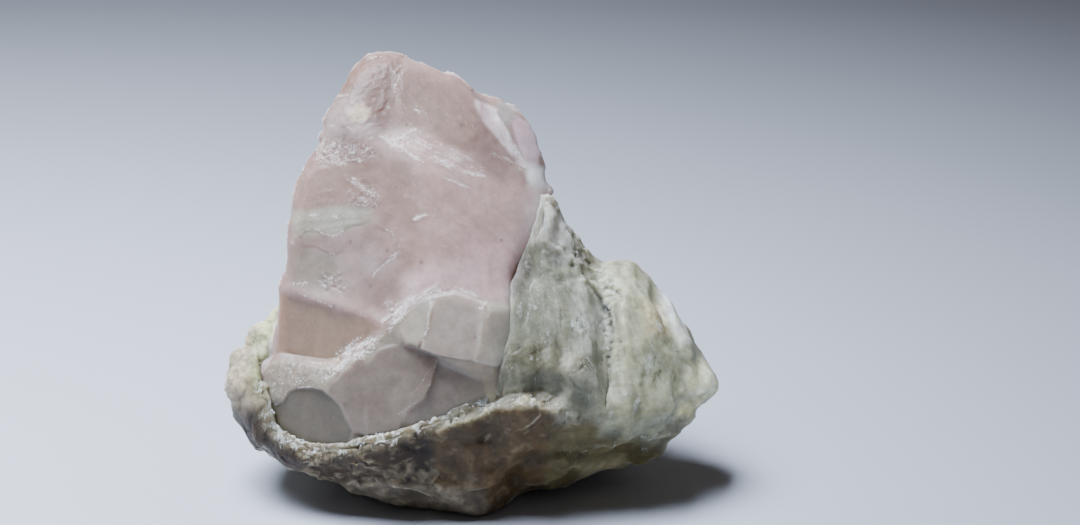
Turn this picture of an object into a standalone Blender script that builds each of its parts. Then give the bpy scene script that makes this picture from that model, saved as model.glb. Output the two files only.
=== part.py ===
"""A morganite specimen: a broken pink beryl crystal that grew on a matrix of bladed albite.

Run it with: blender --background --python part.py

The stone is laid out square to the crystal's broad face, in millimetres. A corner is written
(across, up, out): across runs to the right, up runs up the broad face, and out stands towards
whoever looks at it. The whole then leans back by FACE_LEAN, is cut flat where it rests, and
goes to the part's own frame: metres, +Z up, with the origin at the centre of the base.
"""

from math import cos, radians, sin

import bmesh
import bpy
from mathutils import Matrix, Vector, noise
from mathutils.geometry import delaunay_2d_cdt

# ---- driving dimensions, in millimetres and degrees ----
FACE_LEAN = 18.0  # how far the broad face leans back from upright
BASE_HEIGHT = 2.0  # where the flat base cuts the leaning stone
SOCKET_GAP = 0.45  # clearance between the crystal and its socket in the matrix
CRYSTAL_BACK_STEPS = [(0.7, 6.0), (2.4, 9.5)]  # how far in from the edge, and how far behind it
MATRIX_BACK_STEPS = [(0.7, 6.5), (2.6, 11.5)]
BACK_WAVER = 0.5  # share by which those two swing along the edge
GROUND_SIZE = 200.0
METRES = 0.001

# ---- natural relief, in millimetres ----
CRYSTAL_CHIP, CRYSTAL_CHIP_STEP = 4.2, 0.5  # width of a chip, and height between neighbours
MATRIX_CHIP, MATRIX_CHIP_STEP = 4.6, 0.9
SMOOTH_SHARE = 0.12  # of the chips' height, left on the crystal's smooth faces
KNOB, KNOB_HEIGHT = 4.4, 1.5
BLADE_WIDTH, BLADE_LENGTH, BLADE_HEIGHT = 2.1, 17.0, 0.8
SKIN = 0.15  # makes up for what the even skin rounds off
CALM_ABOVE_BASE = 3.0  # the relief fades out this far above the base

# ---- fineness of the solids ----
GRAIN = 0.5  # size of the small even faces before they are simplified
CRYSTAL_TRIANGLES = 3700
SOCKET_TRIANGLES = 2400
MATRIX_TRIANGLES = 4600

# ---- the crystal: its edge as seen square on, clockwise from the peak ----
CRYSTAL_EDGE = [
    # the crest, falling to the right
    (-12.3, 65.2, 1.0), (-10.1, 64.9, 1.0), (-8.1, 64.0, 1.8), (-6.3, 63.4, 2.5),
    (-4.2, 62.5, 2.8), (-2.5, 61.9, 3.0), (-1.0, 60.8, 2.8), (0.6, 59.4, 1.0),
    # the round shoulder behind the broad face
    (2.1, 59.3, -1.0), (4.2, 58.7, -2.0), (6.3, 57.7, -2.4), (8.0, 55.9, -2.4), (9.4, 53.1, -2.0),
    (10.2, 50.5, -1.6), (10.8, 48.2, -1.4), (10.6, 45.6, -0.6), (9.9, 44.8, 0.6),
    # the curved right side, down to the step facets
    (9.5, 41.4, 3.0), (8.8, 38.6, 4.8), (7.3, 35.6, 7.2), (5.8, 33.0, 9.2),
    (6.4, 30.2, 10.6), (6.1, 26.0, 11.8), (5.3, 23.2, 12.8), (4.4, 21.4, 13.2), (4.8, 18.6, 13.2),
    # the lower edge, along the chipped ledge
    (4.2, 17.1, 13.8), (0.0, 15.8, 14.2), (-4.2, 14.0, 14.0), (-8.1, 12.6, 13.6), (-10.5, 11.8, 13.0),
    (-14.0, 11.1, 11.8), (-17.5, 10.2, 10.6), (-21.3, 9.8, 9.4), (-24.5, 11.1, 8.0), (-26.9, 12.7, 6.4),
    (-27.7, 15.7, 6.0), (-28.4, 18.3, 5.6), (-28.3, 20.4, 5.4), (-27.2, 21.8, 5.0),
    # the left edge, up to the peak
    (-27.1, 23.4, 5.0), (-26.6, 27.4, 5.5), (-26.2, 31.4, 7.0), (-25.6, 33.0, 7.0), (-25.1, 35.6, 6.5),
    (-25.1, 39.3, 6.0), (-24.6, 43.5, 5.5), (-23.9, 47.0, 5.0), (-23.1, 49.8, 4.5), (-21.3, 51.9, 4.5),
    (-20.3, 55.7, 4.0), (-18.9, 58.9, 3.5), (-17.1, 62.4, 2.5), (-15.1, 64.4, 1.5),
]

# ---- the crystal's breaks: each line is an edge between two faces ----
CRYSTAL_FRONT = {
    "crest seam": [(-10.4, 63.6, 3.2), (-9.8, 60.3, 5.2), (-10.8, 57.5, 6.2), (-11.6, 54.6, 7.2)],
    "rough crown": [(-15.6, 61.5, 3.6), (-17.2, 58.2, 5.2), (-18.2, 55.6, 5.4), (-19.4, 52.8, 5.6)],
    "cream block": [(-17.0, 54.8, 7.0), (-14.2, 55.4, 7.2), (-13.4, 53.6, 7.6), (-16.2, 52.8, 7.4)],
    "upper band, top": [
        (-11.9, 53.8, 7.6), (-7.7, 53.8, 7.4), (-3.5, 53.0, 6.8), (0.0, 51.0, 6.6), (3.6, 48.6, 5.8),
        (7.6, 46.6, 4.0),
    ],
    "upper band, foot": [
        (-12.4, 51.4, 9.2), (-9.1, 50.6, 9.8), (-6.0, 49.4, 9.9), (-2.6, 47.8, 9.4), (2.0, 46.0, 8.4),
        (6.4, 44.0, 6.6),
    ],
    "shoulder seam": [
        (0.7, 58.4, 3.4), (1.2, 55.4, 5.0), (2.8, 52.0, 5.4), (5.6, 49.2, 4.8), (8.2, 47.0, 3.6),
        (9.3, 45.4, 2.0),
    ],
    "shoulder trough": [(2.4, 57.0, 0.6), (4.0, 54.0, 1.8), (5.8, 51.0, 2.0), (8.0, 48.4, 1.4)],
    "shoulder rib": [(4.6, 56.4, 0.8), (6.4, 53.6, 1.4), (8.6, 50.6, 0.8)],
    "left crumbs": [(-21.8, 50.2, 5.8), (-18.9, 50.8, 7.0), (-15.4, 49.9, 8.2), (-12.8, 49.4, 9.4)],
    "left face seam": [(-11.4, 48.2, 9.8), (-10.2, 45.8, 10.6), (-12.1, 44.0, 10.2), (-15.4, 43.8, 9.2)],
    "terrace, top": [(-23.4, 43.0, 6.8), (-20.4, 43.4, 8.0), (-16.8, 42.6, 9.2), (-12.8, 42.2, 10.4)],
    "terrace, foot": [
        (-24.2, 39.9, 7.6), (-20.4, 39.4, 9.4), (-17.5, 39.1, 10.2), (-14.4, 40.6, 10.8),
        (-11.0, 39.4, 11.4),
    ],
    "grey hollow": [(-23.8, 37.9, 6.6), (-19.8, 37.6, 8.2), (-16.6, 37.4, 9.2), (-13.4, 38.2, 10.2)],
    "hollow, foot": [(-24.6, 34.2, 7.4), (-20.6, 33.6, 9.2), (-16.4, 33.0, 10.6)],
    "left ledge": [(-8.6, 37.6, 12.2), (-11.0, 36.0, 12.0), (-13.0, 34.4, 11.6), (-13.9, 31.8, 11.8)],
    "broad face, crown": [(-4.6, 45.2, 11.2), (0.6, 43.6, 10.8), (5.4, 41.6, 8.8)],
    "broad face, middle": [(-4.2, 38.4, 12.6), (1.4, 37.4, 12.0), (5.2, 36.4, 10.0)],
    "window, top": [
        (-25.6, 31.9, 8.4), (-21.7, 30.6, 10.2), (-17.5, 29.1, 11.6), (-12.8, 27.4, 13.0),
        (-11.6, 26.4, 13.4),
    ],
    "window, head": [(-25.6, 30.9, 7.0), (-21.8, 29.6, 8.8), (-17.8, 28.1, 10.2), (-14.0, 26.6, 11.6)],
    "window, foot": [
        (-26.2, 22.9, 5.4), (-22.4, 22.5, 7.2), (-18.6, 22.5, 8.8), (-16.6, 23.8, 10.2),
        (-14.2, 25.2, 11.4),
    ],
    "crackle ridge": [
        (-26.4, 21.6, 6.8), (-22.6, 21.2, 9.2), (-19.2, 21.0, 10.8), (-16.4, 22.3, 12.2),
        (-12.4, 24.3, 13.6), (-10.0, 26.4, 14.2), (-7.4, 29.4, 14.2), (-4.2, 31.3, 13.9), (0.4, 31.4, 13.2),
        (3.4, 30.8, 12.2),
    ],
    "step facets, brow": [(-6.6, 28.6, 15.2), (-4.2, 30.2, 15.2), (2.0, 30.2, 14.4), (4.6, 28.8, 13.4)],
    "step facets, foot": [(-8.6, 25.2, 15.8), (-4.7, 23.8, 16.4), (1.2, 22.4, 16.2), (3.7, 22.1, 15.2)],
    "step facets, split": [(-4.5, 28.8, 15.8), (-4.6, 25.4, 16.4)],
    "step facets, cut": [(2.0, 28.6, 15.2), (1.4, 24.2, 16.2)],
    "under the step": [(-9.0, 23.6, 14.0), (-4.4, 22.2, 14.4), (0.8, 20.8, 14.2), (3.8, 20.0, 13.8)],
    "middle facets": [(-17.0, 19.4, 12.8), (-14.0, 21.2, 13.6), (-9.8, 22.2, 14.0)],
    "middle cut": [(-14.2, 19.0, 13.8), (-13.9, 13.9, 12.8)],
    "right cut": [(-4.4, 21.0, 15.0), (-5.7, 17.6, 15.4), (-8.6, 15.2, 14.6)],
    "dark facet": [(-3.3, 20.5, 13.9), (-4.5, 17.6, 14.1), (-6.6, 15.0, 13.5)],
    "dark facet, foot": [(-1.6, 17.4, 13.6), (2.4, 18.4, 13.4)],
    "grey band, foot": [
        (-27.1, 16.5, 7.4), (-24.1, 17.6, 10.2), (-20.3, 18.5, 12.0), (-17.7, 16.7, 12.6),
        (-15.9, 13.2, 12.4),
    ],
    "grey facet, brow": [
        (-26.5, 15.4, 6.3), (-23.9, 16.6, 9.0), (-20.5, 17.5, 10.8), (-18.5, 16.2, 11.4),
        (-17.0, 13.2, 11.2),
    ],
    "grey facet": [(-23.2, 13.0, 8.9), (-20.2, 12.2, 9.8)],
}

# ---- the crystal's hidden side: long cleavage steps below a rear crest ----
CRYSTAL_BACK = {
    "rear crest": [(-12.0, 60.5, -6.5), (-4.0, 58.0, -8.5), (2.5, 54.0, -9.5)],
    "upper step": [(-16.5, 55.0, -9.5), (-9.0, 54.0, -12.5), (-1.0, 51.0, -13.5), (5.0, 48.0, -11.0)],
    "upper step, foot": [(-17.0, 53.2, -7.5), (-9.0, 52.2, -10.5), (-1.0, 49.2, -11.5), (5.4, 46.4, -9.5)],
    "lower step": [(-19.0, 42.0, -11.0), (-10.0, 40.5, -15.5), (-1.0, 37.5, -15.0), (4.0, 35.0, -11.0)],
    "lower step, foot": [(-19.2, 40.0, -8.5), (-10.0, 38.5, -12.5), (-1.0, 35.5, -12.5)],
    "rear keel": [(-9.0, 31.0, -12.5), (-6.0, 25.0, -11.0), (-8.0, 20.0, -8.0)],
    "rear left": [(-20.5, 33.0, -9.0), (-20.0, 22.0, -5.5)],
}

# ---- the matrix: its edge as seen square on, clockwise from where it meets the shoulder ----
MATRIX_EDGE = [
    # the bladed slab's crest
    (9.9, 45.0, -1.5), (11.2, 44.2, -1.4), (12.5, 43.3, -1.4), (12.7, 41.6, -1.4), (14.7, 39.9, -1.6),
    (15.3, 37.8, -2.0), (17.1, 36.0, -3.5),
    # the end block
    (18.8, 35.2, -3.5), (20.3, 34.9, -3.0), (21.6, 35.1, -2.5), (23.2, 34.3, -2.0), (25.2, 32.6, -2.0),
    (26.7, 30.2, -2.0), (29.2, 27.2, -2.0), (30.6, 24.8, -2.0), (32.1, 23.0, -2.0), (33.0, 21.4, -2.0),
    (34.4, 19.6, -2.0), (35.0, 18.3, -2.0), (34.6, 16.7, -1.0), (32.4, 14.9, 0.0), (30.4, 13.0, 0.6),
    (28.0, 11.0, 0.6), (26.9, 9.2, 0.6), (24.9, 8.0, 0.0),
    # the underside, down to the foot and up again
    (22.7, 7.3, -1.0), (22.0, 6.2, -1.0), (20.3, 5.5, -1.0), (17.9, 6.0, -1.0), (16.5, 5.7, -1.0),
    (13.3, 4.8, -0.5), (10.5, 3.5, 0.5), (7.0, 2.7, 2.0), (5.3, 2.4, 3.0), (4.6, 1.1, 4.4), (1.7, 0.0, 6.6),
    (-2.1, 0.6, 5.4), (-5.6, 1.1, 4.6), (-9.1, 1.4, 4.0), (-12.3, 2.0, 3.4), (-14.7, 2.9, 3.0),
    (-17.1, 3.6, 2.6), (-19.6, 4.6, 2.2), (-23.8, 6.6, 1.6), (-27.2, 7.7, 1.2), (-29.1, 8.8, 0.8),
    # the knobbly lump on the left
    (-30.8, 9.1, 0.6), (-31.4, 10.6, 0.5), (-32.2, 12.6, 0.5), (-33.5, 14.7, 0.5), (-33.3, 16.2, 0.0),
    (-34.3, 17.9, 0.0), (-34.3, 19.7, 0.0), (-33.5, 21.3, -0.5), (-33.0, 23.1, -1.0), (-30.8, 23.9, -1.0),
    (-29.8, 26.6, -2.0), (-28.3, 28.6, -2.5), (-26.3, 29.7, -3.0),
    # behind the crystal
    (-24.0, 31.0, -6.0), (-20.0, 34.0, -9.0), (-14.0, 37.5, -12.0), (-7.0, 38.0, -13.5), (0.0, 41.0, -11.0),
    (5.5, 43.5, -7.0),
]

MATRIX_FRONT = {
    "slab, left blade": [
        (10.6, 42.6, 1.2), (10.2, 38.6, 4.0), (8.8, 34.6, 7.2), (8.4, 30.2, 10.0), (8.2, 25.0, 12.0),
    ],
    "slab, middle blade": [(12.2, 40.0, 1.4), (12.7, 36.4, 4.4), (13.2, 30.2, 8.4), (13.6, 24.6, 11.2)],
    "slab, right blade": [(14.2, 37.6, 0.8), (15.6, 33.0, 4.2), (16.4, 28.0, 7.6), (16.6, 23.0, 10.6)],
    "slab, foot": [(6.4, 21.9, 13.9), (10.4, 21.4, 13.8), (15.2, 20.0, 13.4), (17.4, 18.6, 12.6)],
    "cleft": [
        (16.2, 34.8, -1.2), (18.2, 32.0, 0.6), (19.0, 27.0, 4.2), (19.2, 21.8, 7.6), (19.0, 17.4, 10.0),
    ],
    "block, brow": [
        (19.8, 33.0, 1.8), (22.0, 31.8, 4.2), (24.6, 29.4, 4.8), (27.0, 26.2, 5.0), (29.6, 22.6, 4.6),
    ],
    "block, face": [(21.2, 28.0, 6.0), (23.0, 23.8, 8.6), (25.2, 19.6, 9.2)],
    "block, keel": [
        (21.4, 16.4, 11.0), (24.6, 14.8, 10.4), (28.2, 15.8, 7.2), (31.0, 18.0, 5.0), (32.6, 18.6, 3.0),
    ],
    "block, foot": [(24.0, 11.4, 7.0), (27.0, 12.8, 5.2), (30.0, 15.0, 3.6)],
    "band": [(5.6, 18.2, 12.6), (10.2, 17.8, 12.8), (14.6, 16.6, 12.6), (18.6, 15.2, 11.6)],
    "chipped ledge": [
        (-13.8, 10.2, 13.2), (-10.5, 10.9, 14.6), (-7.2, 12.0, 15.6), (-4.0, 13.0, 16.4), (0.0, 14.7, 16.6),
        (4.6, 16.2, 16.0), (9.6, 15.8, 15.6), (13.8, 14.4, 14.2), (18.2, 12.9, 12.0), (21.6, 12.4, 10.4),
    ],
    "ledge, left": [(-26.4, 10.8, 6.6), (-23.8, 9.1, 8.6), (-21.0, 8.7, 10.2), (-17.4, 9.2, 12.0)],
    "pits": [(-18.6, 7.4, 9.6), (-12.4, 7.8, 11.4), (-6.4, 8.8, 12.6), (0.6, 10.6, 13.4)],
    "lower ledge": [
        (-17.6, 5.2, 6.6), (-12.6, 4.8, 8.2), (-6.8, 4.0, 8.6), (-0.6, 2.8, 8.4), (3.2, 4.2, 8.0),
    ],
    "underside, right": [
        (4.4, 8.4, 11.0), (9.6, 10.6, 11.8), (12.6, 7.6, 7.6), (17.0, 9.0, 6.4), (21.4, 9.4, 4.8),
    ],
    "lump, front": [
        (-28.2, 25.6, 1.2), (-29.2, 21.8, 3.0), (-28.8, 17.4, 4.2), (-29.0, 12.8, 4.6), (-28.0, 10.2, 4.8),
    ],
    "lump, side": [(-31.2, 21.4, 2.0), (-32.6, 18.8, 2.6), (-31.2, 15.6, 3.0), (-31.0, 12.0, 2.8)],
    # inside the crystal, where the socket takes it away
    "socket": [
        (-25.4, 26.0, -1.0), (-25.6, 18.0, 1.0), (-23.0, 13.6, 4.0), (-16.0, 12.6, 7.0), (-9.0, 14.6, 9.0),
        (-1.0, 17.2, 10.0), (3.6, 20.0, 9.4), (3.8, 28.0, 6.0), (5.2, 35.0, 2.6), (7.6, 40.6, -0.4),
    ],
    "socket floor": [(-16.0, 24.0, 1.0), (-6.0, 26.0, 2.0), (-12.0, 33.0, -4.0), (0.0, 35.0, -3.0)],
}

MATRIX_BACK = {
    "rear crest": [(-20.0, 31.0, -13.0), (-10.0, 35.0, -17.5), (1.0, 36.5, -17.0), (10.0, 36.0, -12.5)],
    "rear step": [
        (-22.0, 24.0, -16.5), (-11.0, 27.0, -21.5), (2.0, 28.0, -21.5), (13.0, 28.0, -16.5),
        (23.0, 26.0, -10.5),
    ],
    "rear step, foot": [
        (-22.0, 21.0, -14.5), (-11.0, 23.6, -19.5), (2.0, 24.6, -19.5), (13.0, 24.6, -15.0),
    ],
    "rear belly": [
        (-24.0, 14.0, -14.0), (-11.0, 17.0, -21.5), (3.0, 18.5, -22.5), (16.0, 18.0, -17.5),
        (26.0, 19.0, -11.0),
    ],
    "rear foot": [(-19.0, 7.4, -13.0), (-8.0, 5.0, -18.5), (5.0, 4.6, -19.5), (16.0, 7.6, -14.0)],
    "sole": [(-15.0, 6.0, -8.0), (-6.0, 3.4, -9.0), (4.0, 3.8, -9.0), (11.0, 6.0, -8.0)],
}


def clear_scene():
    for thing in list(bpy.data.objects):
        bpy.data.objects.remove(thing, do_unlink=True)


def stone_material(name, colour, roughness):
    material = bpy.data.materials.new(name)
    material.use_nodes = True
    shader = material.node_tree.nodes["Principled BSDF"]
    shader.inputs["Base Color"].default_value = (*colour, 1.0)
    shader.inputs["Roughness"].default_value = roughness
    shader.inputs["Metallic"].default_value = 0.0
    return material


# ---- from break lines to a closed block ----
def stepped_in(edge, inset, drop):
    """A loop inside the edge and behind it. The distances waver along the loop."""
    loop = []
    for before, here, after in zip(edge[-1:] + edge[:-1], edge, edge[1:] + edge[:1]):
        along = Vector(after[:2]) - Vector(before[:2])
        inward = Vector((along.y, -along.x)).normalized()  # the edge runs clockwise
        swing = 1.0 + BACK_WAVER * noise.noise(Vector(here) * 0.21)
        moved = Vector(here[:2]) + inward * inset * swing
        loop.append((moved.x, moved.y, here[2] - drop * swing))
    return loop


def facet_sheet(edge, lines):
    """Corners and triangles of a sheet of facets that fills the edge and folds along every line."""
    corners = list(edge)
    folds = [(i, (i + 1) % len(edge)) for i in range(len(edge))]
    for line in lines:
        first = len(corners)
        corners += line
        folds += [(i, i + 1) for i in range(first, len(corners) - 1)]
    flat = [Vector(corner[:2]) for corner in corners]
    placed, _, faces, sources, _, _ = delaunay_2d_cdt(flat, folds, [], 1, 1e-5)
    for place, source in zip(placed, sources):
        if not source:
            raise ValueError(f"two break lines cross at {place.x:.1f}, {place.y:.1f}")
    return [corners[source[0]] for source in sources], faces


def closed_block(edge, front, back):
    """A bmesh of the front and back sheets, sewn along the edge that they share."""
    block = bmesh.new()
    for lines, turned in ((front, False), (back, True)):
        corners, faces = facet_sheet(edge, lines)
        verts = [block.verts.new(corner) for corner in corners]
        for face in faces:
            block.faces.new([verts[i] for i in (reversed(face) if turned else face)])
    bmesh.ops.remove_doubles(block, verts=block.verts, dist=1e-4)
    bmesh.ops.holes_fill(block, edges=block.edges)
    return block


def rear_lines(edge, steps, lines):
    """The back sheet's lines: single corners for each step behind the edge, then the named lines."""
    corners = []
    for inset, drop in steps:
        corners += [[corner] for corner in stepped_in(edge, inset, drop)[::2]]
    return corners + list(lines.values())


# ---- natural relief ----
def share(value, low, high):
    """0 below low, 1 above high and straight between them."""
    return min(1.0, max(0.0, (value - low) / (high - low)))


def chips(place, size, slope, step):
    """Height of broken facets: the nearest seed's own tilted plane."""
    _, seeds = noise.voronoi(place / size)
    seed = seeds[0]
    tilt = noise.cell_vector(seed * 7.3) - Vector((0.5, 0.5, 0.5))
    return (place / size - seed).dot(tilt) * slope * size + (noise.cell(seed * 3.1) - 0.5) * step


def knobs(place):
    """Height of rounded grains, 1 at a grain's middle and 0 between grains."""
    distances, _ = noise.voronoi(place / KNOB)
    return 1.0 - min(1.0, distances[0] * 1.6)


def blades(place):
    """Height of upright albite blades: ridges far longer than they are wide, a little splayed."""
    across = place.x / BLADE_WIDTH + place.y / 26.0
    ridge = noise.noise(Vector((across, place.y / BLADE_LENGTH, place.z / 9.0)))
    return 1.0 - 2.0 * abs(ridge)


def crystal_relief(place):
    """Chips on the upper left and all over the hidden side; the broad faces stay almost smooth."""
    upper_left = share(-place.x, 9.0, 13.0) * share(place.y, 47.0, 52.0)
    hidden = share(-place.z, -1.0, 3.0)
    rough = max(SMOOTH_SHARE, upper_left, 0.8 * hidden)
    return SKIN + 0.2 * noise.noise(place / 6.0) + rough * chips(place, CRYSTAL_CHIP, 0.2, CRYSTAL_CHIP_STEP)


def matrix_relief(place):
    """Blades on the slab and the end block, knobs on the left lump and chips between them."""
    bladed = share(place.x, 7.0, 10.0) * share(place.y, 16.0, 22.0)
    lump = share(-place.x, 26.0, 29.0)
    broken = 1.0 - max(0.75 * bladed, lump)
    height = 0.5 * noise.noise(place / 5.0) + broken * chips(place, MATRIX_CHIP, 0.28, MATRIX_CHIP_STEP)
    height += bladed * BLADE_HEIGHT * blades(place) + lump * KNOB_HEIGHT * (knobs(place) - 0.4)
    lean = radians(FACE_LEAN)
    above_base = place.y * cos(lean) + place.z * sin(lean) - BASE_HEIGHT
    return SKIN + height * share(above_base, -0.5, CALM_ABOVE_BASE)


def roughen(mesh, relief):
    """Moves every point along its normal by the relief's height there."""
    heights = [relief(vert.co) for vert in mesh.vertices]
    normals = [vert.normal.copy() for vert in mesh.vertices]
    for vert, normal, height in zip(mesh.vertices, normals, heights):
        vert.co += normal * height


# ---- working on objects ----
def new_object(name, block):
    mesh = bpy.data.meshes.new(name)
    block.to_mesh(mesh)
    block.free()
    thing = bpy.data.objects.new(name, mesh)
    bpy.context.scene.collection.objects.link(thing)
    return thing


def apply_modifier(thing, kind, **settings):
    """Adds one modifier, keeps what it makes and drops the modifier."""
    modifier = thing.modifiers.new(kind.title(), kind)
    for name, value in settings.items():
        setattr(modifier, name, value)
    graph = bpy.context.evaluated_depsgraph_get()
    made = bpy.data.meshes.new_from_object(thing.evaluated_get(graph))
    thing.modifiers.clear()
    old, thing.data = thing.data, made
    bpy.data.meshes.remove(old)


def even_out(thing):
    """Makes the block one closed skin of small even faces."""
    apply_modifier(thing, "REMESH", mode="VOXEL", voxel_size=GRAIN, adaptivity=0.0)


def simplify(thing, triangles):
    """Brings the skin down to its main facets."""
    thing.data.calc_loop_triangles()
    ratio = triangles / len(thing.data.loop_triangles)
    apply_modifier(thing, "DECIMATE", ratio=ratio, use_collapse_triangulate=True)


def weather(thing, relief, triangles):
    """Gives the plain block its natural relief. The second skin drops the folds that relief can make."""
    even_out(thing)
    roughen(thing.data, relief)
    even_out(thing)
    simplify(thing, triangles)


def keep_largest(thing):
    """Drops the crumbs that a cut leaves beside the main body."""
    block = bmesh.new()
    block.from_mesh(thing.data)
    unseen, bodies = set(block.faces), []
    while unseen:
        body, front = set(), {next(iter(unseen))}
        while front:
            body |= front
            front = {face for old in front for edge in old.edges for face in edge.link_faces} - body
        unseen -= body
        bodies.append(body)
    largest = max(bodies, key=len)
    crumbs = [face for face in block.faces if face not in largest]
    bmesh.ops.delete(block, geom=crumbs, context="FACES")
    block.to_mesh(thing.data)
    block.free()


def cut_away(thing, cutter):
    """Cuts one object by another, and keeps the main body."""
    apply_modifier(thing, "BOOLEAN", operation="DIFFERENCE", object=cutter, solver="EXACT")
    keep_largest(thing)


def make_ground():
    """A hidden cutter: everything below the flat base of the leaning stone."""
    block = bmesh.new()
    below = Matrix.Translation((0.0, 0.0, BASE_HEIGHT - GROUND_SIZE / 2))
    bmesh.ops.create_cube(block, size=GROUND_SIZE, matrix=below)
    ground = new_object("ground", block)
    ground.hide_render = True
    ground.display_type = "WIRE"
    return ground


def grown_copy(thing, by):
    """A hidden cutter: the same skin, moved out by the gap."""
    cutter = bpy.data.objects.new(thing.name + "_socket", thing.data.copy())
    bpy.context.scene.collection.objects.link(cutter)
    roughen(cutter.data, lambda place: by)
    even_out(cutter)
    simplify(cutter, SOCKET_TRIANGLES)
    cutter.hide_render = True
    cutter.display_type = "WIRE"
    return cutter


def stand_on_base(things):
    """Moves the pieces together, so that the origin is at the centre of the base, in metres."""
    corners = [vert.co for thing in things for vert in thing.data.vertices]
    low = [min(corner[axis] for corner in corners) for axis in range(3)]
    high = [max(corner[axis] for corner in corners) for axis in range(3)]
    foot = Vector(((low[0] + high[0]) / 2, (low[1] + high[1]) / 2, low[2]))
    for thing in things:
        thing.data.transform(Matrix.Scale(METRES, 4) @ Matrix.Translation(-foot))
    print("foot of the leaning stone, mm:", *(round(value, 2) for value in foot))


# ---- the two pieces ----
def make_crystal():
    back = rear_lines(CRYSTAL_EDGE, CRYSTAL_BACK_STEPS, CRYSTAL_BACK)
    crystal = new_object("morganite_crystal", closed_block(CRYSTAL_EDGE, CRYSTAL_FRONT.values(), back))
    crystal.data.materials.append(stone_material("morganite", (0.72, 0.50, 0.50), 0.25))
    weather(crystal, crystal_relief, CRYSTAL_TRIANGLES)
    return crystal


def make_matrix():
    back = rear_lines(MATRIX_EDGE, MATRIX_BACK_STEPS, MATRIX_BACK)
    matrix = new_object("albite_matrix", closed_block(MATRIX_EDGE, MATRIX_FRONT.values(), back))
    matrix.data.materials.append(stone_material("albite", (0.55, 0.58, 0.50), 0.55))
    weather(matrix, matrix_relief, MATRIX_TRIANGLES)
    return matrix


def main():
    clear_scene()
    crystal, matrix = make_crystal(), make_matrix()
    socket, ground = grown_copy(crystal, SOCKET_GAP), make_ground()
    cut_away(matrix, socket)
    lean = Matrix.Rotation(radians(90.0 - FACE_LEAN), 4, "X")
    for thing in (crystal, matrix):
        thing.data.transform(lean)
        cut_away(thing, ground)
    for cutter in (socket, ground):
        bpy.data.objects.remove(cutter)
    stand_on_base([crystal, matrix])


main()
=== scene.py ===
import math
from types import SimpleNamespace

import bmesh
import bpy
import numpy as np
from mathutils import Matrix, Vector
from mathutils.bvhtree import BVHTree


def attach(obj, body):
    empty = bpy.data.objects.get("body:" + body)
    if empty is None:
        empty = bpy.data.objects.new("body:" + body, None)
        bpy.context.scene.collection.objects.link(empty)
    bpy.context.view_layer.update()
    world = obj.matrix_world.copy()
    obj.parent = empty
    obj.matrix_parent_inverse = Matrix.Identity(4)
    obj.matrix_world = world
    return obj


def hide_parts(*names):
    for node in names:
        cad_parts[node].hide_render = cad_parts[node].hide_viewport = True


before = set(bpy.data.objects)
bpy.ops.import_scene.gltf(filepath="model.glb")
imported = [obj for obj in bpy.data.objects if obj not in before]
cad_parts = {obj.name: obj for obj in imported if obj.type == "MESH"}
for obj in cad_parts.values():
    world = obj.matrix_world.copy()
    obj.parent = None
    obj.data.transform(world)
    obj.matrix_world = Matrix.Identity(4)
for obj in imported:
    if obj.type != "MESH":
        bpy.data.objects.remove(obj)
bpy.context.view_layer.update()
print("packed solids loaded")

# Places are in mm on the specimen's show face: across, up, and out towards whoever looks at it.
showFace = {
    "lean": 18.0,                  # how far the face leans back from upright, degrees
    "foot": (0.33, 11.31, 2.0),    # the middle of the base, mm
    "tableGap": 0.00002,           # no point of the stone comes closer to the table, metres
}
faceToWorld = (Matrix.Scale(0.001, 4) @ Matrix.Translation(-Vector(showFace["foot"]))
               @ Matrix.Rotation(math.radians(90 - showFace["lean"]), 4, "X"))
turn = np.array(Matrix.Rotation(0.9, 3, Vector((1, 2, 3)).normalized()))    # between layers of noise


def toLinear(code):  # "#c8b4b0" as a linear colour
    parts = np.array([int(code[i:i + 2], 16) / 255 for i in (1, 3, 5)])
    return np.where(parts < 0.04045, parts / 12.92, ((parts + 0.055) / 1.055) ** 2.4)


def ramp(values, low, high):  # 0 below low, 1 above high, eased between
    part = np.clip((values - low) / (high - low), 0, 1)
    return part * part * (3 - 2 * part)


def dice(cells, seed):  # one steady number from 0 to 1 for each whole cell
    cells = cells.astype(np.int64)
    mix = cells[:, 0] * 73856093 ^ cells[:, 1] * 19349663 ^ cells[:, 2] * 83492791 ^ (seed * 15485863 + 7)
    mix = (mix ^ (mix >> 15)) * 739247 & 0x7fffffff
    mix = (mix ^ (mix >> 13)) * 1597334677 & 0x7fffffff
    return (mix ^ (mix >> 16)) % 65536 / 65535.0


def cloud(points, size, seed):  # soft noise from -1 to 1, in lumps of this size
    scaled = points / size
    cell = np.floor(scaled)
    part = scaled - cell
    part = part * part * (3 - 2 * part)
    total = np.zeros(len(points))
    for corner in np.ndindex(2, 2, 2):
        weight = np.prod(np.where(corner, part, 1 - part), axis=1)
        total += weight * dice(cell + corner, seed)
    return total * 2 - 1


def crumple(points, size, seed, layers=3):  # soft noise with finer and finer layers
    total, weight = np.zeros(len(points)), 1.0
    for layer in range(layers):
        total += weight * cloud(points, size, seed + layer)
        points, size, weight = points @ turn, size / 2.07, weight * 0.5
    return total / 1.6


def patchy(skin, size, seed, low, high):  # 0 to 1 in soft patches of this size
    return ramp(crumple(skin.points, size, seed), low, high)


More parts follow.
